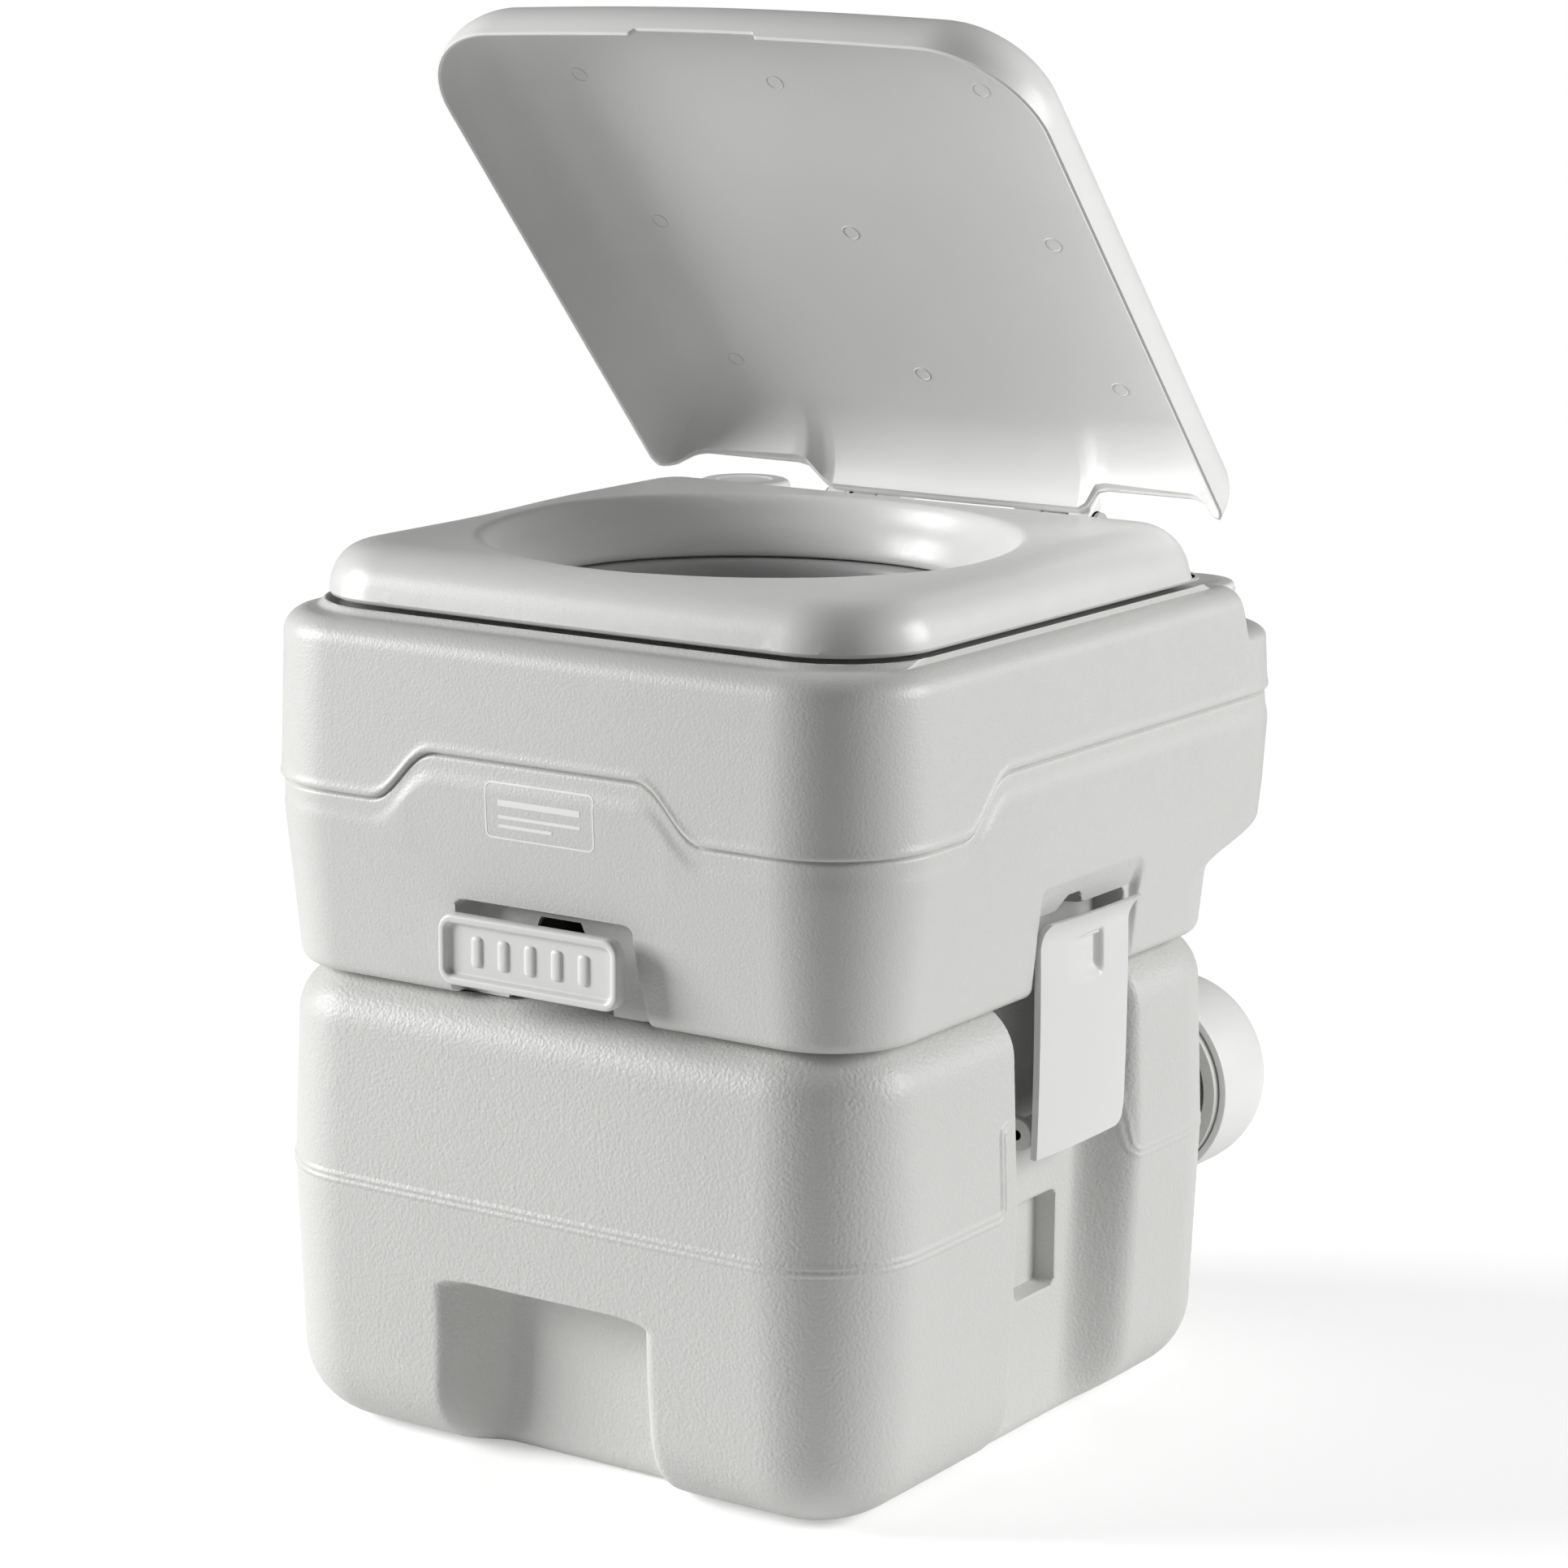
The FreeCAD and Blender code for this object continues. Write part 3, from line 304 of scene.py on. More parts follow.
def turned(obj, degrees):
    # swings a mesh drawn with the lid closed to where the lid rests open
    pivot = Vector((0, hinge["y"], hinge["z"])) * mm
    obj.data.transform(Matrix.Translation(pivot) @ Matrix.Rotation(math.radians(-degrees), 4, "X")
            @ Matrix.Translation(-pivot))
    return obj


# shader groups
def makeTree(treeKind, name, inputs, outputs):
    tree = bpy.data.node_groups.new(name, treeKind)
    for label, kind, value in inputs:
        socket = tree.interface.new_socket(label, in_out="INPUT", socket_type="NodeSocket" + kind)
        if value is not None:
            socket.default_value = value
    for label, kind in outputs:
        tree.interface.new_socket(label, in_out="OUTPUT", socket_type="NodeSocket" + kind)
    return tree, tree.nodes.new("NodeGroupInput"), tree.nodes.new("NodeGroupOutput")


def node(tree, kind, links=None, **values):
    made = tree.nodes.new(kind)
    for key, value in values.items():
        setattr(made, key, value)
    for socket, source in (links or {}).items():
        if hasattr(source, "is_output") or isinstance(source, bpy.types.NodeSocket):
            tree.links.new(source, made.inputs[socket])
        else:
            made.inputs[socket].default_value = source
    return made


def ranged(tree, value, low, high, toLow=0.0, toHigh=1.0, **values):
    return node(tree, "ShaderNodeMapRange", {"Value": value, "From Min": low, "From Max": high, "To Min": toLow,
            "To Max": toHigh}, **values).outputs["Result"]


def maths(tree, operation, a, b):
    return node(tree, "ShaderNodeMath", {0: a, 1: b}, operation=operation).outputs[0]


def noiseAt(tree, place, scale, detail, **values):
    return node(tree, "ShaderNodeTexNoise", {"Vector": place, "Scale": scale, "Detail": detail, **values}).outputs[0]


def pebbleGroup():
    # moulded pebble grain: a height from 0 to 1 and a slow blotch for colour and gloss
    tree, ins, outs = makeTree("ShaderNodeTree", "pebbleGrain", [("Grain Size", "Float", 900.0),
            ("Roughness", "Float", 0.6)],
            [("Height", "Float"), ("Blotch", "Float"),
            ("Speck", "Float")])
    place = node(tree, "ShaderNodeTexCoord").outputs["Object"]
    fine = noiseAt(tree, place, ins.outputs["Grain Size"], 2.5, Roughness=ins.outputs["Roughness"])
    cells = node(tree, "ShaderNodeTexVoronoi", {"Vector": place, "Scale": ins.outputs["Grain Size"],
            "Randomness": 1.0}, feature="SMOOTH_F1")
    mixed = maths(tree, "SUBTRACT", fine, cells.outputs["Distance"])
    for label, value in (("Height", maths(tree, "ADD", mixed, 0.5)),
            ("Blotch", noiseAt(tree, place, 9.0, 3.0, Roughness=0.5)),
            ("Speck", noiseAt(tree, place, 120.0, 4.0, Roughness=0.7))):
        tree.links.new(value, outs.inputs[label])
    return tree


def edgeGroup():
    # rubbed edges from the surface's own curvature, and dust in patches of noise
    tree, ins, outs = makeTree("ShaderNodeTree", "edgeAndDust", [("Edge Reach", "Float", 0.0015),
            ("Dust Scale", "Float", 14.0)],
            [("Edge", "Float"), ("Dust", "Float")])
    bevel = node(tree, "ShaderNodeBevel", {"Radius": ins.outputs["Edge Reach"]}, samples=4)
    plain = node(tree, "ShaderNodeNewGeometry")
    dot = node(tree, "ShaderNodeVectorMath", {0: bevel.outputs[0], 1: plain.outputs["Normal"]},
            operation="DOT_PRODUCT")
    place = node(tree, "ShaderNodeTexCoord").outputs["Object"]
    noise = noiseAt(tree, place, ins.outputs["Dust Scale"], 6.0)
    tree.links.new(ranged(tree, dot.outputs["Value"], 0.99, 0.8), outs.inputs["Edge"])
    tree.links.new(ranged(tree, noise, 0.45, 0.75), outs.inputs["Dust"])
    return tree


pebbleTree = pebbleGroup()
edgeTree = edgeGroup()


def mixColour(tree, factor, a, b):
    mix = tree.nodes.new("ShaderNodeMix")
    mix.data_type = "RGBA"
    tree.links.new(factor, mix.inputs["Factor"])
    for index, value in ((6, a), (7, b)):
        if isinstance(value, bpy.types.NodeSocket):
            tree.links.new(value, mix.inputs[index])
        else:
            mix.inputs[index].default_value = (*value, 1.0)
    return mix.outputs[2]


def newMaterial(name):
    mat = bpy.data.materials.new(name)
    mat.use_nodes = True
    return mat, mat.node_tree, mat.node_tree.nodes["Principled BSDF"]


def mouldedPlastic(name, look):
    # opaque moulded plastic: grain in the bump, slow changes of colour and gloss, paler rubbed edges
    mat, tree, shader = newMaterial(name)
    grain = node(tree, "ShaderNodeGroup", node_tree=pebbleTree)
    grain.inputs["Grain Size"].default_value = look["grain"]
    wear = node(tree, "ShaderNodeGroup", node_tree=edgeTree)
    base = look["colour"]
    darker = tuple(c * 0.965 for c in base)
    colour = mixColour(tree, ranged(tree, grain.outputs["Blotch"], 0.3, 0.7), darker, base)
    paler = tuple(min(1.0, c * 1.06 + 0.01) for c in base)
    colour = mixColour(tree, maths(tree, "MULTIPLY", wear.outputs["Edge"], look.get("rub", 0.25)), colour, paler)
    dusty = maths(tree, "MULTIPLY", wear.outputs["Dust"], 0.05)
    colour = mixColour(tree, dusty, colour, tuple(c * 0.9 for c in base))
    tree.links.new(colour, shader.inputs["Base Color"])
    gloss = ranged(tree, grain.outputs["Speck"], 0.3, 0.7, look["rough"] - 0.05, look["rough"] + 0.06)
    tree.links.new(gloss, shader.inputs["Roughness"])
    bump = node(tree, "ShaderNodeBump", {"Strength": look["bump"], "Distance": look.get("bumpDepth", 0.0003),
            "Height": grain.outputs["Height"]})
    tree.links.new(bump.outputs["Normal"], shader.inputs["Normal"])
    shader.inputs["IOR"].default_value = 1.46
    return mat


def rubber(name):
    look = {"colour": (0.035, 0.036, 0.038), "rough": 0.62, "grain": 1400.0, "bump": 0.15, "rub": 0.1}
    return mouldedPlastic(name, look)


def screwSteel(name):
    mat, tree, shader = newMaterial(name)
    shader.inputs["Metallic"].default_value = 1.0
    grain = node(tree, "ShaderNodeGroup", node_tree=pebbleTree)
    grain.inputs["Grain Size"].default_value = 2400.0
    colour = mixColour(tree, grain.outputs["Blotch"], (0.46, 0.46, 0.45), (0.62, 0.61, 0.6))
    tree.links.new(colour, shader.inputs["Base Color"])
    tree.links.new(ranged(tree, grain.outputs["Speck"], 0.0, 1.0, 0.25, 0.42), shader.inputs["Roughness"])
    return mat


finishes = {
    "wasteTank": {"colour": (0.60, 0.605, 0.585), "rough": 0.44, "grain": 620.0, "bump": 0.42, "bumpDepth": 0.0005},
    "waterTank": {"colour": (0.62, 0.625, 0.605), "rough": 0.40, "grain": 760.0, "bump": 0.26, "bumpDepth": 0.0004},
    "seat": {"colour": (0.70, 0.705, 0.69), "rough": 0.33, "grain": 1100.0, "bump": 0.10},
    # painted light: the lid's colour is paler than the seat's to make up for the light its down-facing inner face lacks
    "lid": {"colour": (0.82, 0.82, 0.81), "rough": 0.36, "grain": 1100.0, "bump": 0.10},
    "bowl": {"colour": (0.42, 0.425, 0.42), "rough": 0.36, "grain": 900.0, "bump": 0.08},
    "latch": {"colour": (0.71, 0.71, 0.705), "rough": 0.36, "grain": 1000.0, "bump": 0.12},
    "cap": {"colour": (0.80, 0.80, 0.79), "rough": 0.34, "grain": 1100.0, "bump": 0.10},
    "valve": {"colour": (0.16, 0.165, 0.17), "rough": 0.42, "grain": 1000.0, "bump": 0.12},
    "pin": {"colour": (0.5, 0.5, 0.49), "rough": 0.38, "grain": 1200.0, "bump": 0.08},
    "badge": {"colour": (0.86, 0.86, 0.86), "rough": 0.32, "grain": 900.0, "bump": 0.05},
}
mats = {key: mouldedPlastic(key + "Plastic", look) for key, look in finishes.items()}
mats["rubber"] = rubber("sealRubber")
mats["steel"] = screwSteel("screwSteel")
print("materials made")


def panelsOf(prefix):
    # the CAD panels that one moulding is divided into
    return [name for name in sorted(frame["nodes"]) if name == prefix or name.startswith(prefix + "_")]


def panelBox(prefix):
    corners = [boxMm(name) for name in panelsOf(prefix)]
    return ([min(c[0][i] for c in corners) for i in range(3)], [max(c[1][i] for c in corners) for i in range(3)])


hinge = {"y": 160.0, "z": 412.0, "open": 48.0}
for joint in frame["joints"]:
    if joint["name"] == "lid_hinge" and joint.get("pos_m"):
        hinge["y"], hinge["z"] = joint["pos_m"][1] / mm, joint["pos_m"][2] / mm


# waste tank
waste = {
    "corner": 54.0, "footRound": 36.0, "topRound": 24.0, "draft": 0.04, "parting": 128.0,
    "gripBack": 33.0, "gripHalf": 63.5, "gripTop": 90.0, "gripFlank": 25.0, "gripLip": 5.5,
    "channelDepth": 24.0, "channelFront": -64.0, "channelBack": 55.0, "channelEdge": 3.2,
    "creaseLow": 12.6, "creaseSlope": 0.108,
    "pocket": (-25.3, 12.7, 68.0, 117.0), "pocketDepth": 10.0, "pocketWall": 2.4,
    "beadSpread": 1.55, "beadWidth": 0.95, "beadHeight": 0.85,
}
wasteLow, wasteHigh = panelBox("waste_tank")
waste["halfWidth"], waste["front"], waste["back"] = wasteHigh[0], wasteLow[1], wasteLow[1] + 353.0
waste["height"] = 224.5


def wasteRows():
    s = waste
    rows = []
    for i in range(16):
        a = math.radians(90 * i / 15)
        rows.append((s["footRound"] * (1 - math.cos(a)), s["footRound"] * (1 - math.sin(a))))
    marks = [(s["pocket"][2], 3.0, 8), (s["pocket"][3], 3.0, 8), (s["gripTop"] - 2, 5.0, 11)]
    for z in stations(s["footRound"] + 2.5, s["height"] - s["topRound"] - 2.5, 4.0, marks):
        rows.append((z, 0.0))
    for i in range(13):
        a = math.radians(90 - 90 * i / 12)
        rows.append((s["height"] - s["topRound"] * (1 - math.cos(a)), s["topRound"] * (1 - math.sin(a))))
    return [(z, cut + s["draft"] * abs(z - s["parting"])) for z, cut in rows]


def rectangleDistance(x, y, spec):
    # distance inwards from the plan outline, negative outside it
    w, f, b = spec["halfWidth"], spec["front"], spec["back"]
    cy, hy = (f + b) / 2, (b - f) / 2
    r = np.where(y < cy, spec["corner"], spec.get("backCorner", spec["corner"]))
    qx, qy = np.abs(x) - w + r, np.abs(y - cy) - hy + r
    return -(np.minimum(np.maximum(qx, qy), 0.0) + np.hypot(np.maximum(qx, 0), np.maximum(qy, 0)) - r)


def insetRows(rows, pts, nrm):
    # each row's outline is the plan moved inwards, with corners that shrink with it
    return np.array([rowAt(pts - nrm * cut, z) for z, cut in rows])


def shapeWaste(grid):
    s = waste
    x, y, z = grid[..., 0], grid[..., 1], grid[..., 2]
    under = 11.0 - np.sqrt(np.maximum(11.0 ** 2 - np.maximum(11.0 - z, 0) ** 2, 0))
    # hand grip in the front
    target = s["front"] + s["gripBack"] + under
    lower = np.clip(1 - z / 60.0, 0, 1)
    flank = (s["gripHalf"] + 3 * lower - np.abs(x)) / s["gripFlank"]
    d = roundedDistance(flank, (s["gripTop"] - z) / s["gripLip"], 1.0)
    y[:] = np.where(y < s["front"] + 60, pushTo(y, target, smooth(d) * (np.abs(x) < 90), -1), y)
    # latch channel down each side, with a hand pocket in its back wall
    crease = s["creaseLow"] + s["creaseSlope"] * (z - 30.0)
    front = (y - s["channelFront"]) / s["channelEdge"]
    rear = (s["channelBack"] - y) / (s["channelBack"] - crease)
    wall = smooth(front) * smooth(rear)
    p0, p1, q0, q1 = s["pocket"]
    along, up = np.minimum(y - p0, p1 - y), np.minimum(z - q0, q1 - z)
    dp = roundedDistance(along / s["pocketWall"], up / s["pocketWall"], 2.4)
    inner = s["halfWidth"] - s["channelDepth"] - s["pocketDepth"] * smooth(dp) - under * 0.8
    side = (np.abs(x) > s["halfWidth"] - 60) & (y > s["channelFront"] - 1) & (y < s["channelBack"] + 1)
    ax = np.abs(x)
    moved = pushTo(ax, inner, wall, 1)
    x[:] = np.where(side, np.sign(x) * moved, x)
    return grid


def wasteMesh():
    s = waste
    sideMarks = [(s["channelFront"] + 1.6, 4.0, 13), (s["pocket"][0] + 1.2, 2.6, 7), (s["pocket"][1] - 1.2, 2.6, 7),
            (35.0, 22.0, 18)]
    frontMarks = [(-53.0, 12.0, 13), (53.0, 12.0, 13)]
    pts, nrm = planColumns(s, frontMarks, sideMarks, (), 5.0, 20)
    grid = shapeWaste(insetRows(wasteRows(), pts, nrm))
    middle = grid[-1].mean(axis=0)
    top = [middle + (grid[-1] - middle) * k for k in (0.72, 0.42, 0.16)]
    low = grid[0].mean(axis=0)
    foot = [low + (grid[0] - low) * k for k in (0.16, 0.42, 0.72)]
    rows = np.concatenate([np.array(foot), grid, np.array(top)])
    return gridObject("wasteTankShell", rows, [mats["wasteTank"]], poles=(True, True), sharpAngle=44)


def castOnto(tree, point, direction, far=80.0):
    start = Vector(point) * mm + Vector(direction) * (far * mm)
    hit, normal, _, _ = tree.ray_cast(start, -Vector(direction))
    return hit, normal


def beadStrip(name, tree, path, materials, spread, width, height, fade=10.0, across=13):
    # a raised double line along a path of (point, outward direction) pairs laid onto a surface
    half = spread + 2.4 * width
    offsets = np.linspace(-half, half, across)
    along = [0.0]
    for (a, _), (b, _) in zip(path[:-1], path[1:]):
        along.append(along[-1] + (Vector(b) - Vector(a)).length)
    rows = []
    for i, (point, direction) in enumerate(path):
        before, after = path[max(i - 1, 0)][0], path[min(i + 1, len(path) - 1)][0]
        way = (Vector(after) - Vector(before)).normalized()
        d = Vector(direction).normalized()
        across3 = way.cross(d).normalized()
        strength = min(1.0, along[i] / fade, (along[-1] - along[i]) / fade) if fade else 1.0
        row = []
        for o in offsets:
            hit, normal = castOnto(tree, Vector(point) + across3 * float(o), d)
            if hit is None:
                row = None
                break
            lines = math.exp(-((o - spread) / width) ** 2) + math.exp(-((o + spread) / width) ** 2)
            lift = height * strength * lines
            lift -= 0.12 * (abs(o) > half - 0.01) + 0.25 * (1 - strength)
            row.append(tuple(hit / mm + normal * (lift + 0.02)))
        if row:
            rows.append(row)
    return gridObject(name, rows, materials, closeCols=False)


def plainPath(points, step=3.0):
    # evenly spaced points along a polyline of 3-D points
    out = [Vector(points[0])]
    for a, b in zip(points[:-1], points[1:]):
        a, b = Vector(a), Vector(b)
        n = max(1, int((b - a).length / step))
        out += [a.lerp(b, (i + 1) / n) for i in range(n)]
    return out


def sidePath(points, side, x):
    # a path of (y, z) points on a side wall
    return [((side * x, y, z), (side, 0, 0)) for y, z in points]


def cornerPath(spec, z, start, end, x0, y0, steps=24):
    # round one plan corner, from one angle to another, at a height
    r = spec["corner"]
    out = []
    for i in range(steps + 1):
        a = math.radians(start + (end - start) * i / steps)
        out.append(((x0 + r * math.cos(a), y0 + r * math.sin(a), z), (math.cos(a), math.sin(a), 0)))
    return out


def wasteBeads(shell):
    s = waste
    tree = surfaceTree(shell)
    w, f, b, r, z = s["halfWidth"], s["front"], s["back"], s["corner"], s["parting"]
    strips = []
    front = [((x, f, z), (0, -1, 0)) for x in np.arange(-w + r, w - r + 0.1, 3.0)]
    path = cornerPath(s, z, 180, 270, -w + r, f + r) + front + cornerPath(s, z, 270, 360, w - r, f + r)
    up = roundPath([(f + r + 1, z), (-75.0, z), (-75.0, 170.0), (s["channelFront"] - 0.5, 170.0)], 6.0, 8)
    up = [(p.x, p.y) for p in plainPath([(a, c, 0) for a, c in up], 1.5)]
    right, left = sidePath(up, 1, w), sidePath(up, -1, w)[::-1]
    strips.append(beadStrip("wasteBeadFront", tree, left + path + right, [mats["wasteTank"]], s["beadSpread"],
            s["beadWidth"], s["beadHeight"]))
    down = roundPath([(24.0, 172.0), (41.0, 172.0), (47.0, z), (b - r - 1, z)], 9.0, 10)
    down = [(p.x, p.y) for p in plainPath([(a, c, 0) for a, c in down], 1.5)]
    rear = [((x, b, z), (0, 1, 0)) for x in np.arange(w - r, -w + r - 0.1, -3.0)]
    path = (sidePath(down, 1, w) + cornerPath(s, z, 0, 90, w - r, b - r) + rear
            + cornerPath(s, z, 90, 180, -w + r, b - r) + sidePath(down, -1, w)[::-1])
    strips.append(beadStrip("wasteBeadRear", tree, path, [mats["wasteTank"]], s["beadSpread"], s["beadWidth"],
            s["beadHeight"] * 0.45))
    return strips


def finishShell(objects, name, body, replaces):
    whole = joinObjects(name, objects) if len(objects) > 1 else objects[0]
    whole.name = name
    whole.data.set_sharp_from_angle(angle=math.radians(46))
    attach(whole, body)
    if replaces:
        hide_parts(*replaces)
    return whole


wasteShell = wasteMesh()
finishShell([wasteShell] + wasteBeads(wasteShell), "wasteTank", "tanks", panelsOf("waste_tank"))
print("waste tank made")


# water tank
water = {
    "corner": 54.0, "footRound": 10.0, "topRound": 11.0, "draftLow": 0.10, "draftHigh": 0.03,
    "seamLow": 313.0, "seamHigh": 338.0, "seamFoot": 96.0, "seamTop": 54.0,
    "recessHalf": 50.0, "recessFlare": 7.0, "recessDepth": 18.5, "recessTop": 271.6,
    "latchDepth": 24.0, "latchFront": -48.5, "latchBack": 46.0, "latchTop": 279.0, "archLift": 7.0,
    "deepTop": 262.0, "rampDepth": 6.5,
    "overhang": 49.5, "shelfFront": 134.0, "shelfDrop": 23.4, "deckHalf": 80.0, "deckBack": 181.0,
    "wellHalf": (114.0, 107.0), "wellMiddle": -26.0, "outlet": 49.5, "outletMiddle": -20.0, "bowlCurve": 2.2,
    "bowlFoot": 261.8, "bayTop": 265.8, "bayHalf": 72.0, "bayFront": -180.0, "bayBack": 50.0,
    "ridgeHeight": 3.1, "ridgeWidth": 1.9,
    "ridge": {"halfWidth": 164.2, "front": -179.4, "back": 127.5, "corner": 48.0, "backCorner": 18.0},
}
waterLow, waterHigh = panelBox("water_tank")
water["halfWidth"], water["front"], water["back"] = waterHigh[0], waterLow[1], waterHigh[1]
water["low"], water["high"] = waterLow[2], 393.0


def ellipseAt(z, grow=0.0):
    # half width, half length and middle of the bowl's well at a height
    s = water
    down = np.clip((s["high"] - z) / (s["high"] - s["bowlFoot"]), 0, 1)
    swell = 1 - down ** s["bowlCurve"]
    return (s["outlet"] + (s["wellHalf"][0] - s["outlet"]) * swell + grow,
            s["outlet"] + (s["wellHalf"][1] - s["outlet"]) * swell + grow,
            s["wellMiddle"] + (s["outletMiddle"] - s["wellMiddle"]) * down)


def waterColumns():
    s = water
    front = [(-s["recessHalf"] - 3, 6.0, 13), (s["recessHalf"] + 3, 6.0, 13), (-12, 2.0, 5), (12, 2.0, 5),
            (-28, 2.0, 5), (28, 2.0, 5), (-75, 24, 17), (75, 24, 17)]
    side = [(s["latchFront"] + 1.2, 3.4, 13), (s["latchBack"] - 1.2, 3.4, 13), (-102.0, 26.0, 15), (-36.0, 2.4, 6),
            (36.0, 2.4, 6), (-14.0, 14.0, 27), (43.0, 6.0, 9), (140.0, 8.0, 9)]
    back = [(-80.0, 14.0, 13), (80.0, 14.0, 13)]
    return planColumns(s, front, side, back, 5.0, 24)


def seamHeight(x, y):
    # the parting line runs low across the front and round its corners, and high elsewhere
    s = water
    onFront = smooth((s["seamFoot"] - np.abs(x + 3.0)) / (s["seamFoot"] - s["seamTop"]))
    onFront = onFront * (y < s["front"] + 30)
    onSide = smooth((y + 125.0) / 45.0)
    return s["seamLow"] + (s["seamHigh"] - s["seamLow"]) * np.maximum(onFront, onSide)


def waterRows():
    # (nominal height, inset, offset from the seam or None) up the outside wall
    s = water
    rows = []
    for i in range(7):
        a = math.radians(90 * i / 6)
        rows.append((s["low"] + s["footRound"] * (1 - math.cos(a)) * 0.55, s["footRound"] * (1 - math.sin(a)) * 0.55,
                None))
    marks = [(s["recessTop"] - 1.0, 3.2, 10), (s["latchTop"] - 1.0, 3.2, 8), (s["deepTop"], 3.0, 9),
            (s["deepTop"] + 6.5, 3.5, 10)]
    for z in stations(s["low"] + 8, 292.0, 3.6, marks):
        rows.append((z, 0.0, None))
    for off, cut in ((-15, 0.0), (-12.5, 0.1), (-10, 0.55), (-8, 0.95), (-6, 1.1), (-4, 1.15), (-2.6, 1.2), (-1.7, 1.3),
            (-1.15, 1.8), (-0.8, 2.6), (-0.35, 2.9), (0.1, 2.7), (0.35, 1.2), (0.75, 0.2), (1.3, -0.35),
            (2.1, -0.6), (3.0, -0.55), (4.0, -0.3), (5.2, -0.05), (7.0, 0.0)):
        rows.append((0.0, cut, off))
    for k in np.linspace(0.15, 0.92, 9):
        rows.append((k, 0.0, "rise"))
    for i in range(13):
        a = math.radians(90 - 90 * i / 12)
        rows.append((s["high"] - s["topRound"] * (1 - math.cos(a)), s["topRound"] * (1 - math.sin(a)), None))
    return rows


def waterShape():
    s = water
    pts, nrm = waterColumns()
    n = len(pts)
    seam = seamHeight(pts[:, 0], pts[:, 1])
    outer = []
    for z, cut, off in waterRows():
        if off is None:
            zz = np.full(n, z)
        elif off == "rise":
            zz = seam + 7.0 + (s["high"] - s["topRound"] - seam - 7.0) * z
        else:
            zz = seam + off
        draft = np.where(zz < s["seamLow"], s["draftLow"] * (s["seamLow"] - zz), s["draftHigh"] * (zz - s["seamLow"]))
        outer.append(rowAt(pts - nrm * (cut + draft)[:, None], zz))
    outer = np.array(outer)
    x, y, z = outer[..., 0], outer[..., 1], outer[..., 2]
    # front recess behind the pull handle
    flare = s["recessFlare"] * np.clip((s["recessTop"] - z) / 47.0, 0, 1) ** 1.6
    d = roundedDistance((s["recessHalf"] + flare - np.abs(x)) / 3.6, (s["recessTop"] - z) / 2.6, 1.5)
    y[:] = np.where(y < s["front"] + 40, pushTo(y, s["front"] + s["recessDepth"], smooth(d), -1), y)
    # latch recess in each side
    side = (np.abs(x) > s["halfWidth"] - 60) & (y > s["latchFront"] - 4) & (y < s["latchBack"] + 8)
    across = np.minimum((y - s["latchFront"]) / 3.5, (s["latchBack"] + 4 - y) / 9.0)
    ramp = np.clip((s["latchTop"] - z) / (s["latchTop"] - s["deepTop"]), 0, 1)
    d = roundedDistance(across, (s["latchTop"] - z) / 4.5, 1.6)
    inner = s["halfWidth"] - 3.0 - s["rampDepth"] * ramp
    x[:] = np.where(side, np.sign(x) * pushTo(np.abs(x), inner, smooth(d), 1), x)
    arch = s["archLift"] * smooth(1.25 - np.abs(y + 14.0) / 11.0)
    across = np.minimum(y - s["latchFront"], s["latchBack"] - 8.0 - y) / 2.4
    d = roundedDistance(across, (s["deepTop"] + arch - z) / 2.4, 1.8)
    x[:] = np.where(side, np.sign(x) * pushTo(np.abs(x), s["halfWidth"] - s["latchDepth"], smooth(d), 1), x)
    # the rear is cut back below the overhang
    ahead = np.clip((y - 40.0) / (s["back"] - s["corner"] - 40.0), 0, 1)
    lowDown = 1 - smooth((z - 254.0) / 22.0)
    y -= s["overhang"] * ahead * lowDown
    # filler and pump shelf, lower than the main top
    drop = shelfDrop(x, y)
    ref = 345.0
    z[:] = np.where(z > ref, ref + (z - ref) * (s["high"] - drop - ref) / (s["high"] - ref), z)
    # top, from the shoulder in to the bowl's well
    rim = outer[-1]
    angle = np.arctan2((rim[:, 1] - s["wellMiddle"]) / s["wellHalf"][1], rim[:, 0] / s["wellHalf"][0])
    a, b, m = ellipseAt(s["high"])
    edge = np.stack([a * np.cos(angle), m + b * np.sin(angle)], axis=1)
    length = np.linalg.norm(edge - rim[:, :2], axis=1)
    # the rows lie closest where they cross the bead that runs round the seat
    share = np.linspace(0, 1, 400)[:, None, None]
    across = rim[:, :2] * (1 - share) + edge * share
    nearest = np.abs(rectangleDistance(across[..., 0], across[..., 1], s["ridge"])).argmin(axis=0)
    bead = length * share[nearest, 0, 0]
    before, after = bead * 0.5 + np.maximum(bead * 0.5 - 4.5, 0), np.minimum(bead + 4.5, length * 0.9)
    reach = [before * k / 26 for k in range(1, 27)]
    reach += [before + (after - before) * k / 11 for k in range(1, 12)]
    reach += [after + (length - after) * k / 6 for k in range(1, 7)]
    top = []
    for dist in reach:
        t = (dist / length)[:, None]
        xy = rim[:, :2] * (1 - t) + edge * t
        zz = s["high"] - shelfDrop(xy[:, 0], xy[:, 1])
        inset = rectangleDistance(xy[:, 0], xy[:, 1], s["ridge"])
        ridge = s["ridgeHeight"] * np.exp(-(inset / s["ridgeWidth"]) ** 2) * smooth((124.0 - xy[:, 1]) / 8.0)
        top.append(rowAt(xy, zz + ridge))
